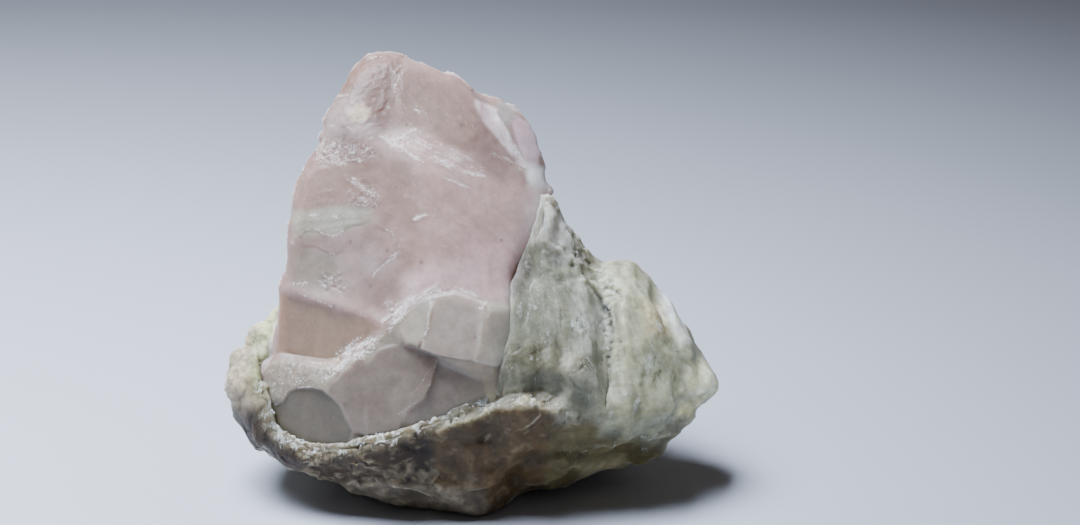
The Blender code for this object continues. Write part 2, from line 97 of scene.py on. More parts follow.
def chips(points, size, seed):  # angular chips: the height of each one's tilted top, and its own number
    scaled = points / size
    home = np.floor(scaled)
    best = np.full(len(points), 9.0)
    offset, owner = np.zeros_like(points), np.zeros_like(points)
    for shift in np.ndindex(3, 3, 3):
        cell = home + shift - 1
        spot = np.stack([dice(cell, seed + k) for k in range(3)], axis=1)
        away = scaled - cell - spot
        gap = (away ** 2).sum(axis=1)
        closer = gap < best
        best = np.where(closer, gap, best)
        offset[closer], owner[closer] = away[closer], cell[closer]
    tilt = np.stack([dice(owner, seed + k) for k in (3, 4, 5)], axis=1) * 2 - 1
    return (offset * tilt).sum(axis=1), dice(owner, seed + 6)


def nearLine(spots, line):  # distance from a broken line, the side (1 on its left), and the share walked
    line = np.array(line, float)
    lengths = np.linalg.norm(np.diff(line, axis=0), axis=1)
    walked = np.concatenate([[0], np.cumsum(lengths)])
    best, side, along = np.full(len(spots), 1e6), np.ones(len(spots)), np.zeros(len(spots))
    for i, length in enumerate(lengths):
        run = line[i + 1] - line[i]
        share = np.clip((spots - line[i]) @ run / (run @ run), 0, 1)
        gap = spots - line[i] - share[:, None] * run
        far = np.hypot(gap[:, 0], gap[:, 1])
        closer = far < best
        best[closer] = far[closer]
        side[closer] = np.sign(run[0] * gap[closer, 1] - run[1] * gap[closer, 0])
        along[closer] = (walked[i] + share[closer] * length) / walked[-1]
    return best, side, along


def insideOf(spots, outline):  # how far inside a closed outline, mm; negative outside
    line = list(outline) + [outline[0]]
    inside = np.zeros(len(spots), bool)
    for (x1, y1), (x2, y2) in zip(line, line[1:]):
        if y1 != y2:
            crosses = (y1 > spots[:, 1]) != (y2 > spots[:, 1])
            inside ^= crosses & (spots[:, 0] < (x2 - x1) * (spots[:, 1] - y1) / (y2 - y1) + x1)
    far = nearLine(spots, line)[0]
    return np.where(inside, far, -far)


def bakeModifiers(piece):
    shown = piece.evaluated_get(bpy.context.evaluated_depsgraph_get())
    fresh, old = bpy.data.meshes.new_from_object(shown), piece.data
    piece.modifiers.clear()
    piece.data = fresh
    bpy.data.meshes.remove(old)


def denseCopy(nodeName, name, look):  # a finely meshed copy of a solid, finest on the show face
    piece = bpy.data.objects.new(name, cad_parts[nodeName].data.copy())
    bpy.context.scene.collection.objects.link(piece)
    piece.data.transform(faceToWorld.inverted())
    remesh = piece.modifiers.new("even skin", "REMESH")
    remesh.mode, remesh.voxel_size, remesh.use_smooth_shade = "VOXEL", look["meshSize"], True
    smooth = piece.modifiers.new("soft skin", "SMOOTH")
    smooth.iterations, smooth.factor = look["softening"], 0.5
    bakeModifiers(piece)
    mesh = bmesh.new()
    mesh.from_mesh(piece.data)
    shown = [f for f in mesh.faces if f.normal.z > look["fineAbove"]]
    if "covered" in look:    # no fine skin where the other stone hides it
        spots = np.array([f.calc_center_median()[:2] for f in shown])
        shown = [f for f, deep in zip(shown, insideOf(spots, look["covered"])) if deep < look["coveredRim"]]
    edges = list({e for f in shown for e in f.edges})
    bmesh.ops.subdivide_edges(mesh, edges=edges, cuts=1, use_grid_fill=True)
    bmesh.ops.triangulate(mesh, faces=[f for f in mesh.faces if len(f.verts) > 4])
    mesh.to_mesh(piece.data)
    mesh.free()
    return piece


def readSkin(piece, look):  # the stone's points, with what will be painted on them
    mesh = piece.data
    count = len(mesh.vertices)
    points, normals = np.empty(count * 3), np.empty(count * 3, np.float32)
    mesh.vertices.foreach_get("co", points)
    mesh.vertices.foreach_get("normal", normals)
    points, normals = points.reshape(-1, 3), normals.reshape(-1, 3).astype(float)
    wobble = np.stack([crumple(points, 1.6, seed) for seed in (11, 17)], axis=1)
    edges = np.empty(len(mesh.edges) * 2, np.int32)
    mesh.edges.foreach_get("vertices", edges)
    return SimpleNamespace(
        piece=piece, look=look, points=points, normals=normals, edges=edges.reshape(-1, 2).T,
        neighbours=np.bincount(edges, minlength=count),
        spots=points[:, :2] + wobble * 0.2,       # where lines and patches fall, a little ragged
        front=ramp(normals[:, 2], 0.0, 0.3),      # how far each point faces the viewer
        frost=np.zeros(count), shine=np.full(count, 0.5), fleck=np.zeros(count),
        tone=np.tile(toLinear(look["bodyTone"]), (count, 1)))


def around(skin, values):  # the mean of each point's neighbours
    a, b = skin.edges
    count = len(values)
    total = np.bincount(a, values[b], count) + np.bincount(b, values[a], count)
    return total / skin.neighbours


def soften(skin, weight, passes):  # evens out the relief
    for _ in range(passes):
        for k in range(3):
            skin.points[:, k] += (around(skin, skin.points[:, k]) - skin.points[:, k]) * weight * 0.7


def push(skin, amount):  # moves the skin out along its normals, mm
    skin.points += skin.normals * amount[:, None]


def patch(skin, outline, soft=0.5):
    return ramp(insideOf(skin.spots, outline), -soft, soft) * skin.front


def paint(skin, weight, tone):  # the tone is named in the stone's own dictionary
    skin.tone += (toLinear(skin.look[tone]) - skin.tone) * weight[:, None]


def shade(skin, amount):  # darker where the amount is above 0, lighter below
    skin.tone *= 1 - amount[:, None]


def whiten(skin, amount):  # frosty, broken crystal
    skin.frost = np.maximum(skin.frost, amount)


def facet(skin, outline, sink=0.0, flat=0.9, soft=0.25, limit=0.8, tone=None, shine=None, like=None):
    # one flat cleaved face, in its own plane or in that of another outline
    weight = patch(skin, outline, soft)
    chosen = patch(skin, like or outline, soft) > 0.6
    plan = np.c_[skin.points[:, :2], np.ones(len(weight))]
    slope = np.linalg.lstsq(plan[chosen], skin.points[chosen, 2], rcond=None)[0]
    gap = np.clip(plan @ slope - skin.points[:, 2], -limit, limit)
    skin.points[:, 2] += gap * weight * flat - sink * weight
    if tone:
        paint(skin, weight, tone)
    if shine is not None:
        skin.shine += (shine - skin.shine) * weight


def ledge(skin, line, drop, reach, rim):  # the ground drops on the right of the line, and its rim is white
    far, side, along = nearLine(skin.spots, line)
    ends = np.clip(np.minimum(along, 1 - along) * 8, 0, 1) * skin.front
    away = far * side
    push(skin, -drop * ends * (1 - ramp(away, -0.16, 0.16)) * np.exp(np.minimum(away, 0) / reach))
    worn = rim * patchy(skin, 1.6, 71, -0.45, 0.35)
    whiten(skin, worn * ends * np.exp(-((away - 0.06) / 0.15) ** 2))


def streak(skin, line, width, height, white):  # a thread of white fracture, or a groove if height is negative
    far, side, along = nearLine(skin.spots, line)
    thin = width * np.clip(np.minimum(along, 1 - along) * 5, 0.35, 1)
    weight = np.exp(-(far / thin) ** 2) * skin.front
    push(skin, height * weight * (0.4 if white > 0 else 1))
    if white > 0:
        whiten(skin, white * weight)
    return weight


def feather(skin, outline, soft, angle, size, white, height, seed):  # fine parallel lines of white fracture
    lean = math.radians(angle)
    run = skin.spots @ (math.cos(lean), math.sin(lean))
    rise = skin.spots @ (-math.sin(lean), math.cos(lean))
    lines = crumple(np.stack([run / (size * 7), rise / size, run * 0], axis=1), 1.0, seed)
    weight = patch(skin, outline, soft) * ramp(lines, -0.2, 0.4)
    push(skin, height * weight)
    whiten(skin, white * weight)


def crumble(skin, weight, size, height, seed, white=0.0):  # breaks the skin into angular crumbs
    chosen = weight > 0.02
    tilt, number = chips(skin.points[chosen], size, seed)
    amount = np.zeros(len(weight))
    amount[chosen] = (tilt * 1.3 + (number - 0.5) * 0.7) * height
    push(skin, amount * weight)
    if white > 0:
        crumbs = np.zeros(len(weight))
        crumbs[chosen] = white * (0.45 + 0.55 * number)
        whiten(skin, crumbs * weight)


def dots(skin, places, radius):  # small dark specks
    for place in places:
        far = np.hypot(*(skin.spots - place).T)
        skin.fleck = np.maximum(skin.fleck, np.exp(-(far / radius) ** 2) * skin.front)


def writeSkin(skin):
    mesh, look = skin.piece.data, skin.look
    mesh.vertices.foreach_set("co", skin.points.ravel())
    mesh.update()
    sharp = sum((skin.points[:, k] - around(skin, skin.points[:, k])) * skin.normals[:, k] for k in range(3))
    skin.frost = np.clip(skin.frost + look["rimWear"] * ramp(sharp, 0.015, 0.06), 0, 1)
    # painted shade: the colour darkens in hollows, where the relief is concave
    shade(skin, look["hollowShade"] * ramp(-sharp, 0.01, 0.06))
    colours = np.c_[np.clip(skin.tone, 0, 1), np.ones(len(skin.tone))]
    mesh.attributes.new("tone", "FLOAT_COLOR", "POINT").data.foreach_set("color", colours.ravel())
    for name in ("frost", "shine", "fleck"):
        values = np.clip(getattr(skin, name), 0, 1).astype(np.float32)
        mesh.attributes.new(name, "FLOAT", "POINT").data.foreach_set("value", values)
    mesh.transform(faceToWorld)
    places = np.empty(len(mesh.vertices) * 3)
    mesh.vertices.foreach_get("co", places)
    places[2::3] = np.maximum(places[2::3], showFace["tableGap"])
    mesh.vertices.foreach_set("co", places)
    mesh.polygons.foreach_set("use_smooth", np.ones(len(mesh.polygons), bool))
    mesh.update()


# where the two stones meet on the show face
seamLine = [(10.2, 44.6), (9.5, 41.4), (8.8, 38.6), (7.6, 35.8), (6.7, 33.6), (6.2, 31.8), (6.2, 29.4),
    (6.1, 26), (5.3, 23.2), (4.7, 21), (4.6, 18.8), (4.2, 17.1), (0, 15.8), (-4.2, 14), (-8.1, 12.6),
    (-10.5, 11.8), (-14, 11.1), (-17.5, 10.2), (-21.3, 9.8), (-24.5, 11.1), (-26.9, 12.7), (-27.7, 15.7),
    (-28.4, 18.3)]

crystalLook = {
    "meshSize": 0.42, "softening": 4, "fineAbove": 0.15,    # mm, passes, how far a face must face the viewer
    "roundPasses": 20, "faceSmoothing": 130, "crownPasses": 12,
    "swellSize": 6.0, "swellHeight": 0.25,    # mm
    "bigChips": (5.0, 0.5), "middleChips": (2.4, 0.2), "smallChips": (0.9, 0.16),    # size, height, mm
    # hollowShade sets how much painted shade darkens the crystal's hollows
    "rimWear": 0.15, "hollowShade": 0.1, "backFrost": 0.75,
    "seamWidth": 0.35, "seamFrost": 0.7, "speckSize": 0.22,
    "seamReach": 2.0, "seamFill": 1.1,    # mm, closes the crystal into its socket
    # tones that the faces and patches below pick from
    "bodyTone": "#9c847c", "palePink": "#b89c94", "lightPink": "#ccb4b0", "facePink": "#ccaca8",
    "dustyPink": "#947c70", "mutedPink": "#968078", "softPink": "#9c8278", "greyRose": "#9e8c86",
    "rosyBrown": "#785c50", "peach": "#98806c", "warmGrey": "#84786c", "stepGrey": "#8a8070",
    # smoke is a grey darkened as painted shade, for the low grey facet
    "paleStep": "#968a7e", "lightStep": "#b8b0a0", "shadedSmoke": "#645a48", "bandGrey": "#807868",
    "ashGreen": "#a09c8c", "ashPink": "#a49c98", "khaki": "#948878", "sand": "#ac9c84",
    # blush is the face's pink, lightened as painted light for the right margin
    "cream": "#b8a890", "lilac": "#ccb4b8", "milk": "#d8c8c8", "snow": "#f0f0ec", "litBlush": "#f0dcd8",
    "driftSize": 7.0, "driftDark": "#e6dedb", "driftLight": "#ffffff", "grainSize": 1.6, "grainDepth": 0.18,
    "frostTone": "#cbc5c1", "frostLow": 0.75, "frostHigh": 1.4, "frostCover": 0.72, "frostRough": 0.12,
    "frostFrom": 0.88, "frostTo": 1.35, "frostSize": 0.3, "frostStretch": (1.0, 1.0, 1.0),
    "sparkSize": 0.22, "fleckTone": "#5c4d48", "roughDull": 0.62, "roughShiny": 0.36,
    "bumpSize": 0.5, "bumpStrength": 0.35, "glow": 1.0, "glowReach": (1.0, 0.70, 0.66), "glowScale": 0.006,
    "ior": 1.58, "specular": 0.45, "coat": 0.06, "coatRough": 0.25,
}

# outlines whose planes the faces beside them follow
leftPlane = [(-23, 46), (-11, 46), (-9.5, 32.5), (-23, 33)]
upperFace = [(-8.2, 61), (-4.2, 61), (-0.6, 58), (0.4, 53.2), (-4.2, 52.6), (-8, 54.5), (-9.2, 57.1)]

crystalFacets = {  # outline, then how flat, sunk, soft-edged and shiny it is
    "crown": ([(-15.4, 65), (-9.2, 64.4), (-9.6, 60.5), (-9.6, 55), (-12.5, 50), (-20.7, 52.9),
        (-20.2, 56.8), (-17.4, 63)], dict(like=upperFace, flat=0.75, soft=2, limit=2)),
    "left side": ([(-24.6, 49), (-12, 50), (-9, 46), (-9, 36), (-9.5, 30.5), (-12, 28.6), (-17, 30),
        (-25.6, 32.6)], dict(like=leftPlane, flat=0.7, soft=2, limit=1)),
    "broad plane": ([(-7, 50), (-1.1, 47.6), (4.2, 46.6), (11.6, 45.6), (11.4, 40.7), (9.4, 35.2),
        (6.4, 31.6), (2, 31.2), (-4.6, 31.9), (-7, 32)], dict(flat=0.85, soft=2.5, limit=1.2)),
    "broad face": ([(-11.8, 49.3), (-9.8, 51), (-5.6, 49.8), (-1.1, 47.6), (4.2, 46.6), (11.6, 45.6),
        (11.4, 40.7), (9.4, 35.2), (6.4, 31.6), (2, 31.2), (-1.8, 32.1), (-4.6, 31.9), (-8, 30), (-10.1, 28),
        (-11.8, 27.3), (-16.8, 29), (-17.9, 30.2), (-17.5, 32.6), (-12.9, 34.2), (-9.2, 37.2), (-10.4, 39.2),
        (-12.9, 40.9), (-11.9, 44.2), (-12.6, 47.3)], dict(flat=0, soft=1.2, tone="palePink", shine=0.95)),
    "upper face": ([(-9.2, 63), (-4.2, 62.2), (0, 59.4), (0.6, 56.8), (2, 53.2), (0, 51), (-4.2, 51.2),
        (-7, 53.5), (-10.4, 54.6), (-10.9, 57.1), (-10.2, 59.9)],
        dict(flat=0.6, soft=0.9, tone="dustyPink", shine=0.85)),
    "left face": ([(-21.3, 52.4), (-16.8, 50.1), (-12, 49), (-12.6, 45.6), (-16.5, 43.1), (-20.7, 42.3),
        (-24.6, 42.6), (-23.8, 47)], dict(like=leftPlane, flat=0.4, soft=0.8, tone="dustyPink", shine=0.8)),
    "terrace top": ([(-24.9, 42.6), (-16.5, 43.4), (-12.9, 42.6), (-11.4, 40.4), (-14.6, 40.6),
        (-17.1, 39.5), (-20.7, 38.9), (-24.4, 38.4)],
        dict(like=leftPlane, flat=0.4, soft=0.7, tone="ashGreen", shine=0.7)),
    "terrace foot": ([(-24.9, 38.6), (-20.4, 38.9), (-17.1, 39.2), (-13.2, 40.6), (-9.8, 38.6),
        (-10.1, 37.2), (-15.4, 36.4), (-18.2, 36.4), (-21.3, 37.5), (-24.9, 37.2)],
        dict(like=leftPlane, flat=0.4, soft=0.7, tone="mutedPink", shine=0.7)),
    "grey hollow": ([(-25.1, 37.8), (-20.7, 37.5), (-17.6, 36.1), (-16.5, 33), (-19.9, 31.6), (-25.2, 32.5)],
        dict(like=leftPlane, flat=0.4, soft=1, tone="warmGrey", shine=0.8)),
    "window": ([(-26.5, 31.6), (-22.3, 30.4), (-18.2, 29), (-14, 27.9), (-11.8, 26.6), (-13.7, 24.9),
        (-16.5, 24.1), (-17.6, 21.6), (-23, 22.3), (-26.6, 23)],
        dict(flat=0.85, soft=0.4, limit=0.5, tone="peach", shine=1)),
    "left step": ([(-9.5, 27.4), (-8, 29.4), (-6, 30.8), (-4.8, 30.7), (-5.3, 28.3), (-5.5, 26.2),
        (-6.7, 24.1), (-8.4, 24.5)], dict(flat=0.9, soft=0.2, sink=0.05, tone="stepGrey", shine=0.7)),
    "middle step": ([(-4.5, 30.9), (-1.8, 31.5), (0.4, 30.9), (2.4, 30.2), (2, 26.7), (1.3, 22), (-4.8, 23),
        (-6.4, 23.9), (-5.3, 26.2)], dict(flat=0.9, soft=0.2, tone="paleStep", shine=0.75)),
    "right step": ([(2.2, 30.2), (6, 29.5), (6.3, 25.8), (5.5, 23.5), (4.6, 21.8), (3.8, 21.3), (1.1, 22),
        (1.8, 26.7)], dict(flat=0.4, soft=0.7, tone="lightStep", shine=0.75)),
    "middle left": ([(-17.5, 20.2), (-14.7, 23), (-13.9, 21.4), (-13.7, 16.4), (-14, 11.9), (-15.7, 12.6),
        (-17.2, 15.7), (-19.3, 17.9)], dict(flat=0.9, soft=0.25, tone="warmGrey", shine=0.75)),
    "middle right": ([(-13.9, 21.4), (-12, 23.8), (-9.4, 24.6), (-6.4, 23.8), (-4.1, 22.4), (-4.8, 19.6),
        (-6, 17.1), (-8.4, 15.5), (-9.4, 12.6), (-14, 11.8)],
        dict(flat=0.85, soft=0.25, tone="warmGrey", shine=0.8)),
    "dark facet": ([(-3.8, 21.8), (1.8, 19.6), (2.8, 16.4), (-3.2, 14.1), (-8.1, 13.3), (-8.3, 15.4),
        (-5.7, 16.9), (-4.5, 19.5)], dict(flat=0.85, soft=0.25, sink=0.08, tone="paleStep", shine=0.8)),
    # the grey facet's tone is its grey, darkened as painted shade on a low face
    "grey facet": ([(-27.4, 15.7), (-25.8, 16.1), (-24.9, 17.6), (-23.7, 18.3), (-21.7, 18.5), (-19.7, 17.9),
        (-18.2, 16.7), (-17.2, 15.4), (-16.7, 14.1), (-15.7, 12.6), (-16.5, 10.9), (-19.7, 10.2),
        (-22.7, 8.8), (-25.9, 9.4), (-27.4, 10.6)],
        dict(flat=0.85, soft=0.25, sink=0.1, tone="shadedSmoke", shine=0.85)),
    "pale band": ([(-28.3, 20.2), (-27.2, 21.6), (-24.9, 22.1), (-19.6, 21.3), (-17.2, 21), (-18.5, 19),
        (-21.3, 18.3), (-23.8, 18.3), (-25.2, 17.4), (-26.6, 16), (-27.9, 16), (-28.3, 17.9)],
        dict(flat=0.5, soft=0.3, tone="bandGrey", shine=0.5)),
    "lavender facet": ([(5.9, 56.6), (8.4, 55.2), (10.1, 51.2), (9.2, 48.4), (7.6, 49.8), (6.4, 52.6)],
        dict(flat=0.8, soft=0.3, sink=0.1, tone="lilac", shine=0.9)),
}

crystalTones = {  # outline, soft edge in mm, tone
    "crown": ([(-15.4, 65), (-9.2, 64.4), (-10.4, 60.5), (-10.6, 56.8), (-11.5, 53.5), (-14.3, 52.6),
        (-20.7, 52.9), (-20.2, 56.8), (-19, 60.5), (-17.4, 63)], 1, "rosyBrown"),
    "left flank": ([(-13, 50), (-7, 50.4), (-5.6, 46), (-5.6, 37), (-7.5, 31), (-11, 28), (-16.8, 29),
        (-17.9, 32.6), (-13.4, 34.2), (-10.5, 38), (-13.4, 41.4), (-13, 45)], 2.4, "dustyPink"),
    "shoulder milk": ([(0.9, 58.2), (3.8, 57), (6.3, 51.7), (8.2, 49.2), (7.4, 48.7), (5, 51.2), (2.5, 54.1),
        (1.3, 56.3)], 0.3, "milk"),
    "shoulder top": ([(3.8, 58.5), (6.3, 57.5), (6.6, 55.6), (5, 54.4), (3.8, 56.8)], 0.3, "ashPink"),
    "shoulder foot": ([(7.8, 49.3), (10.4, 48.7), (10.6, 45.6), (9.5, 44.8), (8.4, 46.5)], 0.6, "snow"),
    "face foot": ([(-4.2, 35.6), (4.9, 36.1), (3.9, 31.4), (0, 31.6), (-4.2, 32.2), (-8.1, 30.2),
        (-9.2, 33)], 2, "lightPink"),
    "streak band": ([(-12.2, 53), (-7.3, 53.9), (-2.5, 51.5), (1.1, 49), (2.8, 47), (-1, 47.2), (-6, 50.2),
        (-10.4, 51.4)], 0.8, "palePink"),
    # painted light: the right margin is lightened to a glowing pale pink where the face turns away from the
    # light
    "right margin": ([(8.4, 46.2), (12, 46.2), (11.6, 40), (8.8, 34), (6.4, 33.6), (7.6, 39)], 1, "litBlush"),
    "lobe": ([(-17.4, 36.2), (-12.4, 37.6), (-9.4, 35.6), (-12.4, 32), (-17.2, 31)], 1.4, "greyRose"),
    "dark right": ([(-1.6, 20.9), (2, 19.7), (3, 16.6), (-1, 15.2)], 1.6, "khaki"),
    "face left": ([(-12.9, 45), (-7.2, 45), (-6.9, 40), (-6.8, 36.4), (-11.8, 36.4)], 1.8, "softPink"),
    "beside window": ([(-14.5, 33.8), (-10.2, 34.2), (-9.6, 31.8), (-11, 29.6), (-14.8, 30.4)], 1,
        "mutedPink"),
    "face right": ([(-0.5, 39), (7.4, 38.8), (6.6, 33.4), (5.8, 31.2), (2.5, 31.4), (1, 35.5)], 1.8,
        "facePink"),
    "crown left": ([(-21, 52.6), (-20.4, 56.8), (-17.8, 58.6), (-14.6, 57.2), (-12.4, 54), (-14.3, 52.4)],
        1.2, "greyRose"),
    "cream block": ([(-16.9, 56.6), (-14.8, 57.6), (-13.4, 56.4), (-14.1, 55), (-16.1, 54.9)], 0.35,
        "cream"),
}

crystalLedges = [  # line walked with the drop on its right, drop, reach, whiteness of the rim
    ([(-16.4, 43.3), (-13.3, 43.4), (-12.5, 43), (-11.9, 44.5)], 0.1, 1, 0.9),
    ([(-25, 38.6), (-23.2, 39.1), (-22.7, 39.8), (-21, 40), (-20.3, 39.3), (-18.1, 39.2), (-16.9, 40.2),
        (-14.6, 41), (-13.3, 41.3)], 0.16, 1.5, 0.9),
    ([(-13, 40.6), (-11.1, 39.8), (-9.9, 38.9)], 0.1, 1.2, 0.9),
    ([(-23, 37.9), (-21, 37.8), (-19.7, 37.1), (-18.1, 36.7), (-17, 37.3)], 0.13, 1.6, 0.78),
    ([(-13, 33.5), (-12.5, 34.7), (-10.8, 36.3), (-9.2, 37.1)], 0.13, 1.4, 1),
    ([(-25.6, 32.3), (-22.3, 30.7), (-18.2, 29.3), (-14, 28.1), (-12, 27.3), (-10.8, 26)], 0.09, 1.2, 0.84),
    ([(-26.6, 22.6), (-23, 22), (-17.6, 21.3)], 0.07, 0.8, 0.9),
    ([(-6.6, 24), (-4.8, 22.9), (1.3, 21.9), (3.8, 21.2), (4.7, 21.7), (5.6, 23.5)], 0.2, 1, 0.84),
    ([(-8.4, 24.6), (-6.6, 24)], 0.13, 0.8, 0.45),
    ([(-8.4, 15.5), (-5.9, 17.1), (-4.8, 19.6), (-4.1, 22.4)], 0.16, 1.2, 0.61),
    ([(-27.4, 15.7), (-25.8, 16.1), (-24.9, 17.6), (-23.7, 18.3), (-21.7, 18.5), (-19.7, 17.9),
        (-18.2, 16.7)], 0.2, 1.6, 0.9),
    ([(-18.2, 16.7), (-17.2, 15.4), (-16.7, 14.1), (-15.7, 12.6), (-16.5, 10.9)], 0.1, 1.2, 0.29),
    ([(3.8, 56.3), (4.6, 54.7), (5.6, 52.9), (6.2, 51.1), (7, 50)], -0.26, 1.4, 1),
    ([(6, 51.6), (7.6, 49.8), (9.2, 48.4)], 0.1, 1.2, 0.57),
    ([(1.7, 58.8), (1.7, 56), (2.9, 53.8), (4.2, 52.4)], -0.16, 1.2, 0.57),
]

crystalStreaks = [  # line, width, height, whiteness
    ([(-9.4, 63.1), (-10.6, 62), (-9.7, 61.2), (-10.2, 59.9), (-10.2, 58.5)], 0.26, 0.06, 0.72),
    ([(-14.6, 64), (-13, 64.3)], 0.38, 0.12, 0.9),
    ([(-12.5, 64.3), (-12.2, 64.1)], 0.22, 0.06, 0.81),
    ([(-11.1, 57.1), (-11.3, 56.6)], 0.22, 0.06, 0.72),
    ([(-13, 55.9), (-12.6, 55.6)], 0.22, 0.06, 0.72),
    ([(-7.6, 56.8), (-6.6, 56)], 0.21, 0.06, 0.81),
    ([(-19.2, 58.1), (-18.3, 58.7), (-16.7, 58.7)], 0.22, 0.06, 0.63),
    ([(-20, 54.5), (-18.3, 54.3)], 0.26, 0.06, 0.54),
    ([(-16.9, 54.2), (-15.8, 53.6)], 0.26, 0.06, 0.63),
    ([(-21.6, 52.6), (-21.2, 52.4)], 0.3, 0.06, 0.81),
    ([(-19, 49.2), (-17.4, 49.2), (-14.8, 49.6), (-14.3, 50)], 0.22, 0.06, 0.81),
    ([(-12.6, 50), (-11.9, 49.3)], 0.19, 0.03, 0.54),
    ([(-22.6, 48.6), (-22, 47)], 0.26, 0.03, 0.45),
    ([(-12.2, 52.9), (-10.6, 52.2), (-9.1, 52.6), (-7.3, 53.8)], 0.4, 0.09, 1.1),
    ([(-11.6, 52.4), (-9.1, 51.4), (-7.6, 50.1), (-6, 49.4)], 0.32, 0.09, 1.1),
    ([(-9.1, 52.5), (-7.1, 51.2), (-5.3, 50.4)], 0.17, 0.06, 0.72),
    ([(-7.3, 53.4), (-4.6, 52.4), (-2.2, 50.6), (-0.4, 49.4)], 0.38, 0.05, 0.36),
    ([(-4, 49.6), (-3.2, 48.9), (-2.3, 48.4)], 0.36, 0.09, 1.1),
    ([(-2.5, 49.3), (-1.1, 48.4)], 0.19, 0.06, 0.63),
    ([(-0.6, 48.1), (1, 47.6), (2.4, 47.3)], 0.3, 0.07, 1),
    ([(-3.4, 47), (-1.6, 46.4), (0.1, 45.6)], 0.22, 0.06, 1),
    ([(-0.3, 50.8), (1.1, 50)], 0.22, 0.03, 0.36),
    ([(0.1, 55.4), (1.1, 53.5), (2.1, 51.8)], 0.15, 0.03, 0.27),
    ([(3.5, 56.8), (4.5, 54.9), (5.6, 52.6), (6.2, 51.1), (7.8, 49.2)], 0.4, 0.12, 1.2),
    ([(4.6, 50.4), (6.7, 49.1), (8.3, 48.3)], 0.22, 0.06, 0.77),
    ([(8.6, 47.8), (9, 45.5)], 0.26, 0.06, 0.81),
    ([(-16, 47.2), (-15.7, 46.8)], 0.19, 0.06, 0.72),
    ([(-15.4, 46.1), (-13.6, 45.2)], 0.22, 0.06, 0.72),
    ([(-11.9, 44.5), (-12.6, 43.6), (-13.4, 43.3), (-16.4, 43.3)], 0.17, 0.05, 0.68),
    ([(-22.3, 41.9), (-20.7, 42)], 0.26, 0.06, 0.9),
    ([(-18.8, 41.9), (-17.9, 41.5)], 0.3, 0.06, 0.9),
    ([(-24.8, 38.6), (-24, 38.2)], 0.3, 0.06, 0.81),
    ([(-20.3, 39.2), (-18.1, 39.1), (-17.3, 39.8)], 0.26, 0.06, 0.81),
    ([(-19.2, 37), (-18.1, 36.6)], 0.26, 0.06, 0.63),
    ([(-12.6, 41.6), (-12.2, 40.8)], 0.26, 0.03, 0.54),
    ([(-7.6, 41.3), (-6.4, 41.9), (-5.5, 42)], 0.34, 0.06, 0.95),
    ([(-9, 36.9), (-10.8, 35.9), (-12.5, 34.5), (-13.2, 33.2)], 0.19, 0.03, 0.72),
    ([(-19.7, 33.5), (-18.1, 33.2)], 0.38, 0.06, 0.54),
    ([(-25.2, 32.6), (-23, 32.6), (-21.7, 32.8)], 0.34, 0, 0.54),
    ([(-4.6, 31.8), (-2.8, 31.4)], 0.34, 0.09, 0.9),
    ([(-10.8, 25.9), (-9.5, 27.7), (-8, 29.7), (-6, 31.2), (-4.2, 32.2)], 0.34, 0.12, 0.9),
    ([(-4.2, 32.2), (-1.8, 32), (0.4, 31.3), (2, 30.7)], 0.26, 0.07, 0.72),
    ([(-4.9, 30.9), (-5.3, 28.6), (-5.5, 26.2), (-6.4, 24.4)], 0.17, 0.05, 0.63),
    ([(1.3, 29.3), (2, 29.1), (2.6, 30.4)], 0.22, 0.09, 0.9),
    ([(2.5, 30.4), (2.9, 29.3), (2.7, 27.7)], 0.17, 0.07, 0.85),
    ([(2.6, 27.6), (2.2, 26.7), (1.5, 22.2)], 0.12, 0.03, 0.36),
    ([(-8, 16.9), (-6.4, 18.8), (-5.5, 20.6)], 0.26, 0.03, 0.32),
    ([(-8.4, 15.6), (-9.5, 14.8)], 0.19, 0.03, 0.54),
    ([(-19.5, 19.6), (-18.2, 20.4), (-16.9, 21.7), (-15, 23.1), (-13.2, 23.7), (-12, 24.2)], 0.38, 0.07,
        0.72),
    ([(-28.2, 15.8), (-27, 15.8), (-25.9, 16.3)], 0.19, 0.06, 0.81),
    ([(-16.5, 10.9), (-13.4, 11.9), (-9.8, 12.6)], 0.22, 0.03, 0.45),
]

crystalCrumbs = [  # outline, soft edge, crumb size, height, whiteness
    ([(-22.2, 52.2), (-21.2, 53.2), (-18.4, 52.6), (-14, 52), (-12.2, 50.4), (-14.2, 49.2), (-18.8, 48.8),
        (-21.4, 49.6)], 0.9, 0.5, 0.14, 0.62),
    ([(-11.4, 52.9), (-8.6, 53.4), (-7.4, 52.6), (-8.8, 51.2), (-10.6, 51.6)], 0.6, 0.5, 0.1, 0.6),
    ([(-17.9, 23.6), (-15.4, 25.2), (-12.6, 25.6), (-11.6, 24.6), (-13.6, 22.6), (-17.2, 21.2),
        (-19.8, 18.8), (-20.6, 18.4), (-19.2, 21)], 0.5, 0.6, 0.14, 0.6),
    ([(-11.6, 30.2), (-8, 30), (-10.5, 25.9)], 0.4, 0.6, 0.1, 0.55),
    ([(-28.3, 20.2), (-27.2, 21.6), (-24.9, 22.1), (-19.6, 21.3), (-18.4, 19.4), (-21.3, 18.5),
        (-24.2, 18.5), (-26.6, 16.4), (-28.2, 16.4)], 0.5, 0.8, 0.08, 0.35),
    ([(-20.4, 34.2), (-17.6, 34.4), (-16.4, 31.8), (-19, 30.8), (-20.6, 32)], 0.7, 0.6, 0.08, 0.4),
    ([(-16.6, 45.6), (-12.8, 45.8), (-12, 43.8), (-14, 43.2), (-16.2, 43.6)], 0.7, 0.6, 0.06, 0.35),
]

